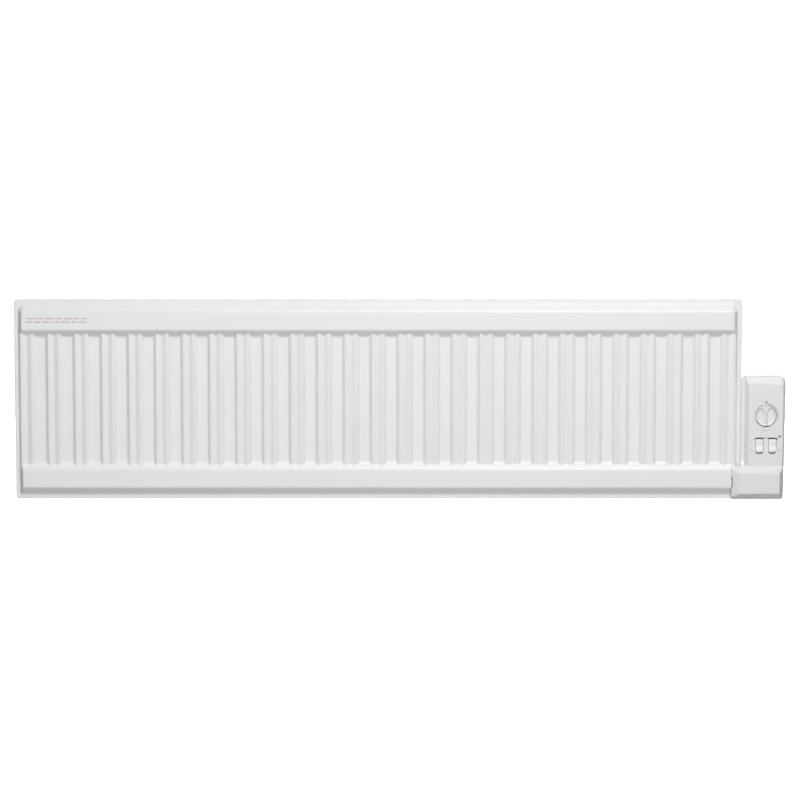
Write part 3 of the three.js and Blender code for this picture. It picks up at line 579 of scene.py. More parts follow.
def corner_round(x, z, r=5.0):
    """Pulls the square corners of the grid onto their arcs, and the ends in to where the
    sheet stops. Also gives each point's distance from the rim."""
    u = np.abs(x) - (PANEL_W / 2 - r)
    v = np.abs(z - PANEL_H / 2) - (PANEL_H / 2 - r)
    corner = (u > 0) & (v > 0)
    f = np.maximum(u, v) / np.sqrt(np.maximum(u * u + v * v, 1e-12))
    x2 = np.where(corner, np.sign(x) * (PANEL_W / 2 - r + u * f), x)
    z2 = np.where(corner, PANEL_H / 2 + np.sign(z - PANEL_H / 2) * (PANEL_H / 2 - r + v * f), z)
    rim = np.where(corner, r - np.maximum(u, v),
                   np.minimum(PANEL_W / 2 - np.abs(x), PANEL_H / 2 - np.abs(z - PANEL_H / 2)))
    pull = np.clip((np.abs(x2) - PULL_X) / (PANEL_W / 2 - PULL_X), 0, 1)
    x2 = x2 - np.sign(x2) * np.where(x2 < 0, END_L, END_R) * pull
    return x2, z2, rim


# grid lines: offsets either side of each rib's middle, the last halfway to the next rib
RIB_LINES = (0, 0.8, 1.6, 2.8, 4.0, 4.9, 5.8, 7.4, 8.3, 9.0, 9.8, 10.8, 11.9, 12.7, 13.4,
             14.2, RIB_PITCH / 2)
# distances from the panel's middle, for both ends
END_LINES = (532.8, 533.6, 534.3, 534.9, 535.5, 536.1, 536.8, 537.5, 538.2, 538.9, 539.6,
             540.3, 541.0, 541.7, PULL_X, 543.4, 544.5, 545.5, 546.2, 546.9, 547.4,
             PANEL_W / 2)
# heights from the bottom edge and from the top edge
EDGE_LINES = (0, 0.3, 0.7, 1.2, 1.8, 2.6, 3.4, 4.2, 5.0, 6.1, 6.8, 7.4, 8.1, 9.0, 10.6, 12.5,
              14.6, 16.0, 16.9, 17.6, 18.3, 19.1, 20.4, 26, 32, 38, 43.4, 44.7, 45.4, 46.1,
              46.8, 47.6, 48.6, 49.6, 50.5, 51.4, 52.3, 53.2, 54.1, 55.0, 55.9, 56.8, 57.9,
              59.6, 63)
MIDDLE_LINES = (110.0, 150.0, 190.0)
# The coarser rows of the inner face. The top half keeps only those whose distance from the
# top edge is exactly one of these in floating point.
INNER_LINES = (4.2, 7.4, 12.5, 17.6, 20.4, 43.4, 46.1, 49.6, 53.2, 56.8, 63, 150.0)


def plate_lines():
    xs = {round(-RIB_HALF + i * RIB_PITCH + sign * offset, 3)
          for i in range(RIB_COUNT) for offset in RIB_LINES for sign in (-1, 1)}
    xs = {x for x in xs if abs(x) < RIB_HALF + 5.6}
    xs |= {sign * x for x in END_LINES for sign in (-1, 1)}
    zs = set(EDGE_LINES) | {PANEL_H - z for z in EDGE_LINES} | set(MIDDLE_LINES)
    return np.array(sorted(xs)), np.array(sorted(zs), float)


def build_plate(name, side):
    """One pressing; side is 1 for the front and -1 for the rear."""
    xs, zs = plate_lines()
    X, Z = np.meshgrid(xs, zs, indexing="ij")
    x2, z2, rim = corner_round(X, Z)
    skin = skin_depth(X, Z)
    # outer face, rolled over at the rim
    t = np.clip(1 - rim / 1.3, 0, 1)
    front = skin - 0.85 * (1 - np.sqrt(np.maximum(1 - t * t, 0)))
    # inner face: the sheet's thickness measured square to the skin
    slope_x = (skin_depth(X + 0.3, Z) - skin_depth(X - 0.3, Z)) / 0.6
    slope_z = (skin_depth(X, Z + 0.3) - skin_depth(X, Z - 0.3)) / 0.6
    back = skin - 1.2 * np.sqrt(1 + np.minimum(slope_x * slope_x + slope_z * slope_z, 2.2))
    back = np.maximum(back, 0.15)

    nx, nz = len(xs), len(zs)
    keep = [j for j in range(nz)
            if j in (0, nz - 1) or zs[j] in INNER_LINES or PANEL_H - zs[j] in INNER_LINES]
    nb = len(keep)
    x = np.concatenate([x2.ravel(), x2[:, keep].ravel()])
    d = np.concatenate([side * front.ravel(), side * back[:, keep].ravel()])
    z = np.concatenate([z2.ravel(), z2[:, keep].ravel()])

    def outer(i, j):
        return i * nz + j

    def inner(i, j):
        return nx * nz + i * nb + j

    faces = []
    for i in range(nx - 1):
        for j in range(nz - 1):
            faces.append((outer(i, j), outer(i + 1, j), outer(i + 1, j + 1), outer(i, j + 1)))
        for j in range(nb - 1):
            faces.append((inner(i, j), inner(i, j + 1), inner(i + 1, j + 1), inner(i + 1, j)))
        faces.append((outer(i, 0), inner(i, 0), inner(i + 1, 0), outer(i + 1, 0)))
        faces.append((outer(i, nz - 1), outer(i + 1, nz - 1),
                      inner(i + 1, nb - 1), inner(i, nb - 1)))
    for i in (0, nx - 1):
        for j in range(nb - 1):
            ring = [outer(i, row) for row in range(keep[j], keep[j + 1] + 1)]
            ring += [inner(i, j + 1), inner(i, j)]
            faces.append(tuple(ring if i == 0 else ring[::-1]))
    if side < 0:
        faces = [f[::-1] for f in faces]
    mesh = bpy.data.meshes.new(name)
    mesh.from_pydata(np.column_stack(at(x, d, z)).tolist(), [], faces)
    mesh.update()
    return link_object(name, mesh)


for plate, side in (("front_plate", 1), ("rear_plate", -1)):
    finish_piece(build_plate(plate + "_skin", side), "heater", "painted_panel", plate, angle=60)

# ------------------------------------------------------------------ control box dimensions
BOX_L, BOX_TOP, BOX_BOTTOM = 552.2 + BOX_X, 184.5, -0.5
BOX_R_TOP, BOX_R_BOTTOM = 611.7 + BOX_X, 609.2 + BOX_X  # the right wall leans outwards
FACE_D = 12.0
# the foot: the deeper part at the bottom, which reaches left over the panel's end
FOOT_D, FOOT_L, FOOT_TOP = 22.0, 531.2 + BOX_X, 49.3
NOTCH_Z = 24.6
BOSS_Z = 32
KNOB_X, KNOB_Z = 582.2 + BOX_X, 125.8
KEYS_X = (573.3 + BOX_X, 592.7 + BOX_X)
KEY_Z, KEY_PIVOT_D = 79.7, 6.3
LENS_X, LENS_Z = 603.5 + BOX_X, 94.4
SIDE_X = PANEL_W / 2 - END_R + 0.2  # just beyond the panel's right end


def growing_arc(radii, start, sweep, steps, power=1.1):
    """Arc about the knob's centre, by degrees clockwise from the top, whose radius runs from
    the first of radii to the second."""
    points = []
    for i in range(steps + 1):
        t = i / steps
        a = math.radians(start + sweep * t)
        r = radii[0] + (radii[1] - radii[0]) * t ** power
        points.append((KNOB_X + r * math.sin(a), KNOB_Z + r * math.cos(a)))
    return points


# ------------------------------------------------------------------ control box cover
def right_wall(z):
    lean = (BOX_R_TOP - BOX_R_BOTTOM) * z / BOX_TOP
    return BOX_R_BOTTOM + lean + 0.9 * max(0.0, 1 - ((z - 80) / 95) ** 2)


def cover_outline(inset):
    low_r, top_r = 4.2, 6.6
    top = BOX_TOP - inset
    points = [(BOX_L + inset, BOX_BOTTOM + inset)]
    points += quarter(right_wall(0) - inset - low_r, BOX_BOTTOM + inset + low_r, low_r, 270, 6)
    points += [(right_wall(z) - inset, z) for z in range(20, 161, 20)]
    points += quarter(right_wall(top) - inset - top_r, top - top_r, top_r, 0, 10)
    points.append((BOX_L + inset, top))
    return points


def cover_body(inset, back):
    """Hull points of the cover, shrunk by inset and reaching back to a depth."""
    bottom = BOX_BOTTOM + inset
    face = FACE_D - inset
    face_l = 557.3 + BOX_X + 0.5 * inset
    face_top = 170.7 - 0.4 * inset
    points = []
    for x, z in cover_outline(inset):
        points += [(x, back, z), (x, 4.2 - inset, z)]
    points += [(BOX_L + inset, 6.6 - inset, z) for z in (bottom, BOX_TOP - 3.4 - inset)]
    points += [(face_l, face, bottom), (face_l, face, face_top)]
    # the face's right edge: (height for the wall, distance in from the wall, height)
    for wall_z, margin, z in ((0, 2.7, bottom + 4.2), (80, 2.9, 80),
                              (face_top, 2.9, face_top - 4.5),
                              (face_top, 3.9, face_top - 1.6), (face_top, 6.5, face_top)):
        points.append((right_wall(wall_z) - margin - 0.4 * inset, face, z))
    # the front edge of the right wall
    for wall_z, z in ((0, bottom + 4.2), (80, 80), (166, 166 - inset)):
        points.append((right_wall(wall_z) - inset, 7.6 - inset, z))
    return points


def foot_body(inset, back):
    """Hull points of the foot, shrunk by inset and reaching back to a depth."""
    x0, z0, z1 = FOOT_L + inset, BOX_BOTTOM + inset, FOOT_TOP - inset
    x1 = right_wall(20) - 0.3 - inset
    corner_x = right_wall(0) - 0.3 - inset - 4.4
    outline = [(x0, z0), (x1, z1), (x0, z1), (right_wall(30) - 0.35 - inset, 30)]
    outline += quarter(corner_x, z0 + 4.4, 4.4, 270, 6)
    points = []
    for x, z in outline:
        points += [(x, back, z), (x, 11.5 - inset, z)]
    points += [(x0, 14.6 - inset, z0 + 4.0), (x0, 14.6 - inset, z1 - 4.0)]
    draft = 0.4 * inset
    left, right = 542.7 + BOX_X + draft, 602.8 + BOX_X - draft
    for x, z in ((left, 8.7 + draft), (right, 8.7 + draft),
                 (right, 40.0 - draft), (left, 40.0 - draft)):
        points.append((x, FOOT_D - inset, z))
    return points


def cover_shell():
    cover = bevel(hull("cover_shell", cover_body(0, -14)), 0.7, 3, angle=28.5)
    join(cover, bevel(hull("foot", foot_body(0, 0.2)), 0.8, 3))
    cut(cover, hull("cover_hollow", cover_body(2.0, -17)))
    cut(cover, hull("foot_hollow", foot_body(2.2, -3)))
    return cover


def add_lip(cover):
    """The lip beside the panel's rim, with the fillet that runs into the foot."""
    steps = ((SIDE_X, 180.4), (SIDE_X + 2.6, 182.9), (BOX_L + 1.0, 183.6))  # (x, top)
    lip = hull("lip", [(x, d, z) for x, top in steps for d in (-1.2, 1.6) for z in (46.5, top)])
    join(cover, bevel(lip, 0.4, 2))
    section = [(1.0, 44.0), (11.6, 44.0), (11.6, 49.4)]  # (d, z), closed by the curve
    for i in range(9):
        a = math.radians(90 * i / 8)
        section.append((1.2 + 10.2 * (1 - math.sin(a)), 49.4 + 9.5 * (1 - math.cos(a))))
    join(cover, prism_x("fillet", section, SIDE_X, 560.0 + BOX_X))


def cut_room(cover):
    """Room for the panel's end, the boss and the mounting plate, and the foot's notch."""
    land, header = LAND + 0.4, HEADER_D + 0.4
    section = [(-46, -4), (land, -4), (land, 5.6), (header, 16.2), (header, 45.2),
               (land, 55.2), (-46, 55.2)]  # (d, z)
    cut(cover, prism_x("room", section, FOOT_L - 5, SIDE_X))
    boss_l, boss_r = FOOT_L + 4, BOX_L + 6
    cut(cover, rod("boss_room", 13.8, (boss_l, 0, BOSS_Z), (boss_r, 0, BOSS_Z), 48))
    cut(cover, block("boss_room_back", (boss_l, boss_r), (-20, 0), (18.2, 45.8)))
    cut(cover, block("plate_room", (BOX_L - 1, BOX_L + 5), (-20, -1.2), (61, 173)))
    # shallow arc let into the foot's left edge
    cut(cover, peg("notch", 15.0, FOOT_L + 3.4 - 15.0, NOTCH_Z, 8.3, 15.6, 200,
                   end_radius=15.5))


def cut_knob_recess(cover):
    """A cup let into the face, with a hole for the knob's hub."""
    join(cover, peg("cup", 18.3, KNOB_X, KNOB_Z, 6.6, 11.4, 96))
    cut(cover, peg("recess", 16.55, KNOB_X, KNOB_Z, 8.8, 20, 96))
    cut(cover, peg("hub_hole", 5.4, KNOB_X, KNOB_Z, 0, 20, 48))


def cut_key_pocket(cover):
    """The key pocket: deep at its top edge, running out flush at the bottom."""
    left, right = KEYS_X[0] - 7.6, KEYS_X[1] + 7.6
    radii = (0, 0, 3.2, 3.2)
    join(cover, block("bridge", (KEYS_X[0] + 5.9, KEYS_X[1] - 5.9), (6.9, 10.4), (80, 95)))
    points = [(x, d, z) for inset, d, top in ((-0.2, 12.6, 92.8), (0.2, 11.0, 92.3))
              for x, z in rounded_rect(left + inset, right - inset, 87.0, top, radii)]
    points += [(x, 12.7, 64.0) for x in (left, right)]
    points += [(x, 12.0, 66.4) for x in (left + 0.3, right - 0.3)]
    cut(cover, hull("pocket", points))
    # a narrow groove round the pocket's top and sides
    top = 92.6
    groove = hull("groove", [(x, d, z) for x, z in rounded_rect(left, right, 84.2, top, radii)
                             for d in (13.0, 8.0 + 0.54 * (top - z))])
    core = rounded_rect(left + 0.9, right - 0.9, 60, 91.45, (0, 0, 2.3, 2.3))
    cut(groove, prism_d("groove_inner", core, 5, 20))
    cut(cover, groove)
    for x in KEYS_X:
        window = rounded_rect(x - 6.0, x + 6.0, 68.2, 91.6, (3.4, 3.4, 2.6, 2.6))
        cut(cover, prism_d("window", window, 2, 20))


def cut_small_openings(cover):
    """The lens hole, the tab's hole and a crescent scale that widens clockwise."""
    cut(cover, peg("lens_hole", 1.5, LENS_X, LENS_Z, 2, 20, 24))
    hole = rounded_rect(579.2 + BOX_X, 586.6 + BOX_X, 103.8, 110.4, (0.6, 0.6, 0, 0), 3)
    cut(cover, prism_d("tab_hole", hole, 2, 20))
    outside = growing_arc((17.9, 20.0), start=10, sweep=95, steps=40)
    inside = growing_arc((17.15, 17.35), start=10, sweep=95, steps=40, power=1)
    cut(cover, prism_d("scale", outside + inside[::-1], 10.8, 14))


def build_cover():
    cover = cover_shell()
    add_lip(cover)
    cut_room(cover)
    cut_knob_recess(cover)
    cut_key_pocket(cover)
    cut_small_openings(cover)
    tidy(cover)
    weight_normals(cover)
    return cover


finish_piece(build_cover(), "heater", "white_moulding", "control_box_cover", angle=32)

# ------------------------------------------------------------------ control box base
CABLE_X, CABLE_Z = 582.0 + BOX_X, 40.0
BASE_TOP = 182.9


def base_outline(inset):
    """The base seen from the front, with the top corner by the panel cut away."""
    low_r, top_r = 2.5, 8.0
    top = BASE_TOP - inset

    def right(z):
        return 608.9 + BOX_X + 2.8 * z / BASE_TOP - inset

    points = [(BOX_L + inset, BOX_BOTTOM + inset)]
    points += quarter(right(0) - low_r, BOX_BOTTOM + inset + low_r, low_r, 270, 4)
    points += quarter(right(top) - top_r, top - top_r, top_r, 0, 8)
    chamfer = 4.2 - 0.6 * inset
    points += [(BOX_L + inset + chamfer, top), (BOX_L + inset, top - chamfer)]
    return points


def build_base():
    base = prism_d("box_base_shell", base_outline(0.1), -33.0, -14.35)
    bevel(base, 1.4, 4, angle=40)
    cut(base, prism_d("inside", base_outline(2.1), -30.95, -10))
    cut(base, peg("cable_hole", 7.2, CABLE_X, CABLE_Z, -36, -20, 48))
    cut(base, rod("boss_hole", 13.7, (BOX_L - 3, 0, BOSS_Z), (BOX_L + 6, 0, BOSS_Z), 64))
    for x, z in ((560.5 + BOX_X, 160), (602.0 + BOX_X, 150)):
        join(base, peg("pillar", 3.9, x, z, -31.5, -4.0, 24))
        cut(base, peg("pillar_hole", 1.9, x, z, -18, -2, 16))
    for z in range(120, 161, 10):
        slot = rounded_rect(BOX_L + 12, BOX_R_TOP - 14, z, z + 3, (1.4,) * 4, 5)
        cut(base, prism_d("slot", slot, -40, -25))
    tidy(base)
    weight_normals(base)
    return base


finish_piece(build_base(), "heater", "white_moulding", "control_box_base", angle=32)

# ------------------------------------------------------------------ knob
KNOB_R, KNOB_TOP_D, KNOB_BACK_D = 15.75, 14.3, 9.2


def smooth_step(t):
    t = min(max(t, 0), 1)
    return t * t * (3 - 2 * t)


def knob_depth(u, v):
    """Depth of the knob's top: a tapered grip left standing between two scoops, a rounded
    rim and a dimple near the grip's upper end. u and v run right and up from its centre."""
    r = math.hypot(u, v)
    if v > -2.5:
        widening = 3.9 * ((v + 2.5) / 14) ** 1.7
    else:
        widening = 1.5 * ((-2.5 - v) / 11) ** 1.4
    scoop = smooth_step((abs(u) - (0.75 + widening)) / 2.3)
    scoop *= smooth_step((KNOB_R - 0.7 - r) / 3.4)
    over = max(r - (KNOB_R - 1.1), 0)
    rounding = 1.1 - math.sqrt(max(1.21 - over * over, 0))
    dimple = math.exp(-((u ** 2 + (v - 11.2) ** 2) / 0.8))
    return KNOB_TOP_D - 2.6 * scoop - rounding - 0.45 * dimple


def build_knob():
    ring_count, sides = 34, 144
    radii = [KNOB_R * (i / ring_count) for i in range(1, ring_count)]
    radii += [KNOB_R - 0.45, KNOB_R - 0.2, KNOB_R]
    radii = sorted({round(r, 4) for r in radii})
    # (radius, depth) of the rim's foot, the back and the hub
    back_rings = ((KNOB_R, 9.7), (KNOB_R - 0.4, KNOB_BACK_D), (5.0, KNOB_BACK_D), (4.8, 4.0))
    turn = [2 * math.pi * k / sides for k in range(sides)]

    verts = [at(KNOB_X, knob_depth(0, 0), KNOB_Z)]
    for r in radii:
        for a in turn:
            u, v = r * math.sin(a), r * math.cos(a)
            verts.append(at(KNOB_X + u, knob_depth(u, v), KNOB_Z + v))
    for r, d in back_rings:
        verts += [at(KNOB_X + r * math.sin(a), d, KNOB_Z + r * math.cos(a)) for a in turn]

    faces = [(0, 1 + (k + 1) % sides, 1 + k) for k in range(sides)]
    last = 1 + (len(radii) + len(back_rings) - 1) * sides
    for ring in range(1, last, sides):
        for k in range(sides):
            j = (k + 1) % sides
            faces.append((ring + k, ring + j, ring + sides + j, ring + sides + k))
    faces.append(tuple(last + k for k in range(sides)))
    knob = solid("knob_cap", verts, faces)
    cut(knob, peg("bore", 3.2, KNOB_X, KNOB_Z, 3, 11.6, 32))
    return knob


finish_piece(build_knob(), "knob", "white_moulding", "thermostat_knob", angle=40)

# ------------------------------------------------------------------ rocker keys
KEY_HALF_W, KEY_HALF_L, KEY_CORNER = 5.6, 10.55, 3.0
KEY_TILT = math.radians(8)
# grid lines of a key's face, for both sides of its middle
KEY_U = (0, 1.2, 2.4, 3.4, 4.2, 4.7, 5.0, 5.25, 5.45, KEY_HALF_W)
KEY_V = (0, 0.4, 0.9, 1.6, 2.8, 4.2, 5.4, 6.4, 7.1, 7.7, 8.3, 8.8, 9.2, 9.55, 9.85, 10.1,
         10.35, KEY_HALF_L)


def mirrored(values):
    return sorted({sign * v for sign in (-1, 1) for v in values})


def key_corner(u, v):
    """Moves a grid point onto the rounded outline; also gives its distance from the rim."""
    a, b = abs(u) - (KEY_HALF_W - KEY_CORNER), abs(v) - (KEY_HALF_L - KEY_CORNER)
    if a > 0 and b > 0:
        m = max(a, b)
        r = math.hypot(a, b)
        return (math.copysign(KEY_HALF_W - KEY_CORNER + a * m / r, u),
                math.copysign(KEY_HALF_L - KEY_CORNER + b * m / r, v), KEY_CORNER - m)
    return u, v, min(KEY_HALF_W - abs(u), KEY_HALF_L - abs(v))


def key_height(v, rim):
    """Height of the dished face, with rounded ends and a rounded rim."""
    end_r, rim_r = 3.3, 0.9
    h = 5.3 + math.sqrt(v * v + 0.5) * math.tan(KEY_TILT)
    over = max(abs(v) - (KEY_HALF_L - end_r), 0)
    h -= (end_r - math.sqrt(max(end_r * end_r - over * over, 0))) * 0.92
    over = max(rim_r - rim, 0)
    return h - (rim_r - math.sqrt(max(0.81 - over * over, 0)))


def build_key(name, key_x):
    us, vs = mirrored(KEY_U), mirrored(KEY_V)
    nu, nv = len(us), len(vs)

    def place(u, v, h):
        d = h * math.cos(KEY_TILT) - v * math.sin(KEY_TILT)
        z = v * math.cos(KEY_TILT) + h * math.sin(KEY_TILT)
        return at(key_x + u, KEY_PIVOT_D + d, KEY_Z + z)

    def index(i, j):
        return i * nv + j

    front, back = [], []
    for u in us:
        for v in vs:
            u2, v2, rim = key_corner(u, v)
            front.append(place(u2, v2, key_height(v2, rim)))
            back.append(place(u2, v2, 1.9))
    loop = [index(i, 0) for i in range(nu)]
    loop += [index(nu - 1, j) for j in range(1, nv)]
    loop += [index(i, nv - 1) for i in range(nu - 2, -1, -1)]
    loop += [index(0, j) for j in range(nv - 2, 0, -1)]
    # the back keeps only the points round its rim
    rim_points = sorted(loop)
    below = {point: nu * nv + k for k, point in enumerate(rim_points)}

    faces = []
    for i in range(nu - 1):
        for j in range(nv - 1):
            faces.append((index(i, j), index(i + 1, j), index(i + 1, j + 1), index(i, j + 1)))
    for a, b in zip(loop, loop[1:] + loop[:1]):
        faces.append((a, b, below[b], below[a]))
    faces.append(tuple(below[a] for a in loop))
    key = solid(name, front + [back[point] for point in rim_points], faces)

    web = [(key_x + x, KEY_PIVOT_D + d, KEY_Z + z) for x in (-5.2, 5.2)
           for d, z in ((0, -1.6), (0, 1.6), (2.6, 1.6), (2.6, -1.6))]
    join(key, hull("web", web))
    join(key, rod("barrel", 1.8, (key_x - 5.35, KEY_PIVOT_D, KEY_Z),
                  (key_x + 5.35, KEY_PIVOT_D, KEY_Z), 32))
    return key


for side, key_x in zip(("left", "right"), KEYS_X):
    finish_piece(build_key("key_cap_" + side, key_x), "key_" + side, "white_gloss_key",
                 "rocker_" + side, angle=40)


# ------------------------------------------------------------------ indicator and tab
def build_jewel():
    """A flanged stub with a domed front."""
    r, back, front, bulge, sides = 1.25, 8.2, 11.9, 0.35, 24
    profile = [(r * 1.7, back), (r * 1.7, back + 1.4), (r, back + 1.4), (r, front)]
    for degrees in (25, 50, 72):
        a = math.radians(degrees)
        profile.append((r * math.cos(a), front + bulge * math.sin(a)))
    verts = [at(LENS_X, back, LENS_Z)]
    for radius, d in profile:
        verts += [at(x, d, z) for x, z in circle(LENS_X, LENS_Z, radius, sides)]
    tip = len(verts)
    verts.append(at(LENS_X, front + bulge, LENS_Z))
    faces = []
    for k in range(sides):
        j = (k + 1) % sides
        faces.append((0, 1 + k, 1 + j))
        for ring in range(1, tip - sides, sides):
            faces.append((ring + k, ring + sides + k, ring + sides + j, ring + j))
        faces.append((tip - sides + k, tip, tip - sides + j))
    return solid("indicator_jewel", verts, faces)


def build_tab():
    """A wedge-fronted tab on a flange."""
    left = 579.4 + BOX_X
    section = ((8.4, 104.0), (8.4, 109.2), (9.9, 109.2), (12.9, 106.2), (12.9, 105.7),
               (12.1, 104.2))  # (d, z)
    tab = hull("tab_slider", [(x, d, z) for x in (left, left + 7.0) for d, z in section])
    flange_l = 577.8 + BOX_X
    join(tab, block("flange", (flange_l, flange_l + 10.0), (8.2, 9.7), (102.0, 106.8)))
    return bevel(tab, 0.25, 2)


finish_piece(build_jewel(), "heater", "lens_red", "indicator_lens", angle=40)
# The tab takes the brighter white: a painted highlight.
finish_piece(build_tab(), "heater", "white_moulding", "limit_tab", material="tab_painted_highlight")


# ------------------------------------------------------------------ marks
def thin_mark(name, outlines, depth, height, material, slot="white_moulding"):
    """Thin closed slabs on a face at the given depth."""
    verts, faces = [], []
    for outline in outlines:
        faces += prism_faces(len(outline), first=len(verts))
        verts += [at(x, d, z) for d in (depth - 0.05, depth + height) for x, z in outline]
    return finish_piece(solid(name, verts, faces), "heater", slot, material=material)


def strip(name, left, right, d0, d1, material, slot):
    """A thin closed slab between two rows of (x, z) points."""
    verts, faces = [], []
    for (xa, za), (xb, zb) in zip(left, right):
        verts += [at(xa, d0, za), at(xa, d1, za), at(xb, d1, zb), at(xb, d0, zb)]
    end = len(verts) - 4
    for i in range(0, end, 4):
        for k in range(4):
            m = (k + 1) % 4
            faces.append((i + k, i + m, i + 4 + m, i + 4 + k))
    faces += [(3, 2, 1, 0), (end, end + 1, end + 2, end + 3)]
    return finish_piece(solid(name, verts, faces), "heater", slot, material=material)


def flat_ring(name, x, z, radius, width=0.62, sides=32):
    verts, faces = [], []
    back, front = FACE_D - 0.05, FACE_D + 0.02
    inner = radius - width
    for r, d in ((radius, back), (radius, front), (inner, front), (inner, back)):
        verts += [at(px, d, pz) for px, pz in circle(x, z, r, sides)]
    for k in range(4):
        m = (k + 1) % 4
        for i in range(sides):
            j = (i + 1) % sides
            faces.append((k * sides + i, k * sides + j, m * sides + j, m * sides + i))
    return finish_piece(solid(name, verts, faces), "heater", "white_moulding",
                        material="print_grey")


def bar(x, z, w, h):
    """Outline of an upright rectangle about its middle."""
    return [(x - w / 2, z - h / 2), (x + w / 2, z - h / 2),
            (x + w / 2, z + h / 2), (x - w / 2, z + h / 2)]


def right_arc(centre_x, radius, zs):
    """The right-hand side of a circle at the notch's height."""
    return [(centre_x + math.sqrt(radius * radius - (z - NOTCH_Z) ** 2), z) for z in zs]


def faint_dashes():
    """Two dashes to the right of the knob, and four rows above it."""
    dashes = [bar(KNOB_X + x, 116.9, 1.6, 0.5) for x in (18.2, 21.0)]
    # (height, start, end), x from the knob's centre
    for z, x, stop in ((161.3, -9.0, 4.6), (157.2, -8.6, 0.5), (153.4, -8.6, 1.8),
                       (149.6, -8.6, 6.0)):
        while x < stop:
            dashes.append(bar(KNOB_X + x + 0.55, z, 1.1, 0.75))
            x += 1.9
    return dashes


def header_dashes():
    """Two rows of plain printed dashes, in groups, on the top header."""
    rng = np.random.default_rng(7)
    dashes = []
    for x, z, stop in ((-526.8, 270.6, -437.6), (-528.2, 265.4, -436.8)):
        left_in_group = 6
        while x < stop:
            width = float(rng.uniform(0.9, 1.5))
            height = float(rng.uniform(1.7, 2.4))
            dashes.append(rounded_rect(x, min(x + width, stop), z, z + height, (0.25,) * 4, 2))
            x += width + float(rng.uniform(0.45, 0.75))
            left_in_group -= 1
            if left_in_group <= 0:
                x += 2.6
                left_in_group = int(rng.integers(4, 9))
    return dashes


# A grey strip on the floor of the crescent scale recess: painted shade.
strip("scale_wedge", growing_arc((17.25, 17.45), start=12, sweep=91, steps=32),
      growing_arc((17.8, 19.85), start=12, sweep=91, steps=32),
      10.75, 10.85, "scale_painted_shade", "white_moulding")
# A dark sheet laid on the header in the foot's notch: painted shadow of the gap between the foot
# and the panel.
notch_rows = [NOTCH_Z + 9.3 * math.sin(math.radians(-90 + 180 * i / 24)) for i in range(25)]
strip("notch_shadow_sheet", right_arc(FOOT_L + 1.0 - 41.6, 41.6, notch_rows),
      right_arc(FOOT_L + 3.7 - 15.2, 15.2, notch_rows),
      HEADER_D + 0.02, HEADER_D + 0.3, "notch_painted_shadow", "dark_moulding")
thin_mark("scale_dot", [circle(583.0 + BOX_X, 145.8, 1.45, 24)], FACE_D, 0.03, "print_dark")
# plain ring and bar marks either side of the keys
flat_ring("ring_mark_right", 602.4 + BOX_X, 73.3, radius=1.8)
flat_ring("ring_mark_left", 561.2 + BOX_X, 73.3, radius=1.5)
thin_mark("bar_marks", [bar(602.9 + BOX_X, 87.8, 0.7, 3.6), bar(561.0 + BOX_X, 87.8, 0.7, 3.2)],
          FACE_D, 0.02, "print_grey")
thin_mark("faint_dashes", faint_dashes(), FACE_D, 0.02, "print_faint")
thin_mark("printed_dashes", header_dashes(), HEADER_D, 0.02, "print_red", "painted_panel")

# ------------------------------------------------------------------ CAD nodes that stay
SOFT_EDGED = ("wall_bracket", "hanger_lug", "safety_latch", "bracket_saddle",
              "control_box_base", "distance_piece", "box_mounting", "oil_fill", "terminal",
              "thermostat_body")  # starts of the names of nodes whose edges are bevelled


def finish_cad_nodes():
    slot_of = {part["node"]: part["material_slot"] for part in frame["record"]["subparts"]}
    for name, ob in frame["nodes"].items():
        ob.data.materials.clear()
        ob.data.materials.append(MATERIALS[slot_of[name]])
        if ob.hide_render:
            continue
        shade(ob, 31)
        ob.modifiers.new("weld", "WELD").merge_threshold = 1e-6
        if name.startswith(SOFT_EDGED):
            bevel(ob, 0.25, 2, angle=35, apply=False)
            weight_normals(ob)


finish_cad_nodes()


# ------------------------------------------------------------------ stage
def build_floor(half=30, z=-0.16):
    """A pale floor that the camera sees as glowing white."""
    mesh = bpy.data.meshes.new("floor")
    corners = [(-half, -half, z), (half, -half, z), (half, half, z), (-half, half, z)]
    mesh.from_pydata(corners, [], [(0, 1, 2, 3)])
    floor = link_object("floor", mesh)
    mat, tree, bsdf = new_material("pale_floor")
    bsdf.inputs["Base Color"].default_value = (0.60, 0.60, 0.60, 1)
    bsdf.inputs["Roughness"].default_value = 0.9
    bsdf.inputs["Specular IOR Level"].default_value = 0.1
    bsdf.inputs["Emission Color"].default_value = (1, 1, 1, 1)
    camera_ray = tree.nodes.new("ShaderNodeLightPath").outputs["Is Camera Ray"]
    glow_strength = 1.0
    glow = calculate(tree, "MULTIPLY", camera_ray, glow_strength)
    tree.links.new(glow, bsdf.inputs["Emission Strength"])
    floor.data.materials.append(mat)


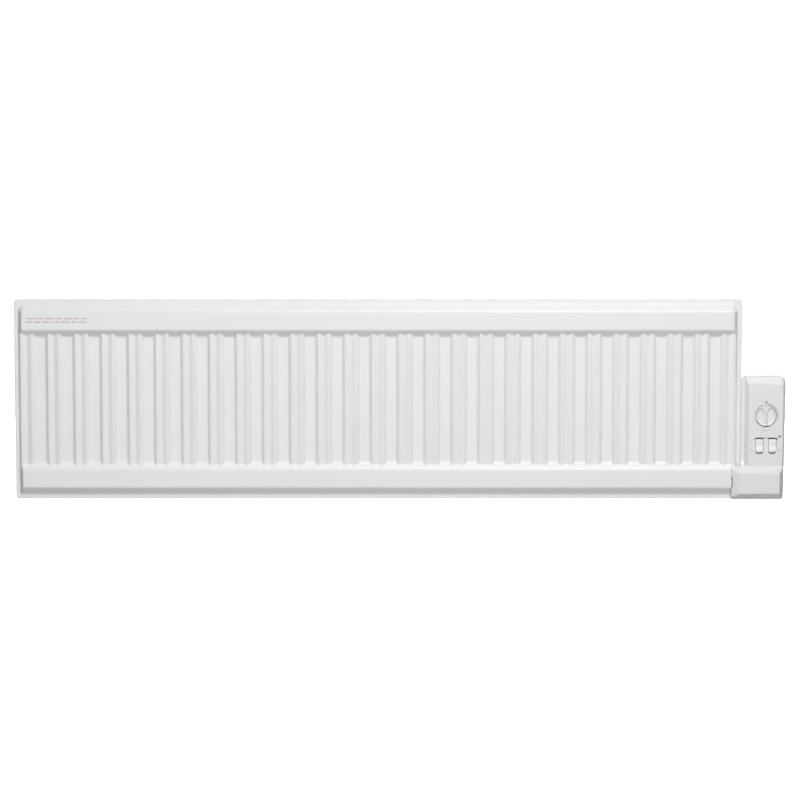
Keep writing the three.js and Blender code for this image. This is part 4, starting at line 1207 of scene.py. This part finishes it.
def build_world(ambient_back=0.03, ambient_front=0.13, backdrop=1.05):
    """Dim ambient light, brighter from the camera's side, behind a white backdrop that only
    the camera sees."""
    world = bpy.data.worlds.new("studio")
    scene.world = world
    world.use_nodes = True
    tree = world.node_tree
    ambient = tree.nodes["Background"]
    direction = tree.nodes.new("ShaderNodeTexCoord").outputs["Generated"]
    axes = tree.nodes.new("ShaderNodeSeparateXYZ")
    tree.links.new(direction, axes.inputs[0])
    strength = remap(tree, axes.outputs["Y"], span=(0.25, -0.95),
                     to=(ambient_back, ambient_front))
    tree.links.new(strength, ambient.inputs["Strength"])
    ambient.inputs["Color"].default_value = (0.985, 0.995, 1.0, 1)
    white = tree.nodes.new("ShaderNodeBackground")
    white.inputs["Color"].default_value = (1, 1, 1, 1)
    white.inputs["Strength"].default_value = backdrop
    camera_ray = tree.nodes.new("ShaderNodeLightPath").outputs["Is Camera Ray"]
    mix = tree.nodes.new("ShaderNodeMixShader")
    tree.links.new(camera_ray, mix.inputs[0])
    tree.links.new(ambient.outputs[0], mix.inputs[1])
    tree.links.new(white.outputs[0], mix.inputs[2])
    tree.links.new(mix.outputs[0], tree.nodes["World Output"].inputs["Surface"])


def area_light(name, position, size, power, aim_x=0.0):
    """A rectangular light aimed at mid-height of the panel; metres and watts."""
    light = bpy.data.lights.new(name, "AREA")
    light.shape = "RECTANGLE"
    light.size, light.size_y = size
    light.energy = power
    ob = link_object(name, light)
    ob.location = position
    aim = Vector((aim_x, 0, 0.15)) - Vector(position)
    ob.rotation_euler = aim.to_track_quat("-Z", "Y").to_euler()


def build_camera(elevation=math.radians(4.5), distance=3.657478):
    camera = bpy.data.cameras.new("camera")
    camera.lens = 109.17
    camera.sensor_width = 36
    ob = link_object("camera", camera)
    target = Vector(at(52.08684, 0, 148.0))
    away = Vector((0, -math.cos(elevation), math.sin(elevation)))
    ob.location = target + away * distance
    ob.rotation_euler = (math.radians(90) - elevation, 0, 0)
    camera.shift_x = -0.0155625
    camera.shift_y = 0.0004375
    scene.camera = ob


build_floor()
build_world()
area_light("key_high", position=(0.38, -1.95, 2.65), size=(0.9, 0.7), power=60.0)
area_light("key_low", position=(0.50, -2.1, 1.2), size=(0.7, 0.5), power=11.5, aim_x=0.15)
area_light("fill", position=(-1.0, -2.5, -0.1), size=(0.9, 0.7), power=12.0, aim_x=-0.1)
area_light("front", position=(0.1, -4.3, 0.35), size=(1.6, 1.2), power=13.0)
area_light("back", position=(0.2, 3.2, 0.45), size=(2.2, 0.9), power=34.0)
build_camera()
scene.view_settings.view_transform = "Standard"
scene.view_settings.look = "None"
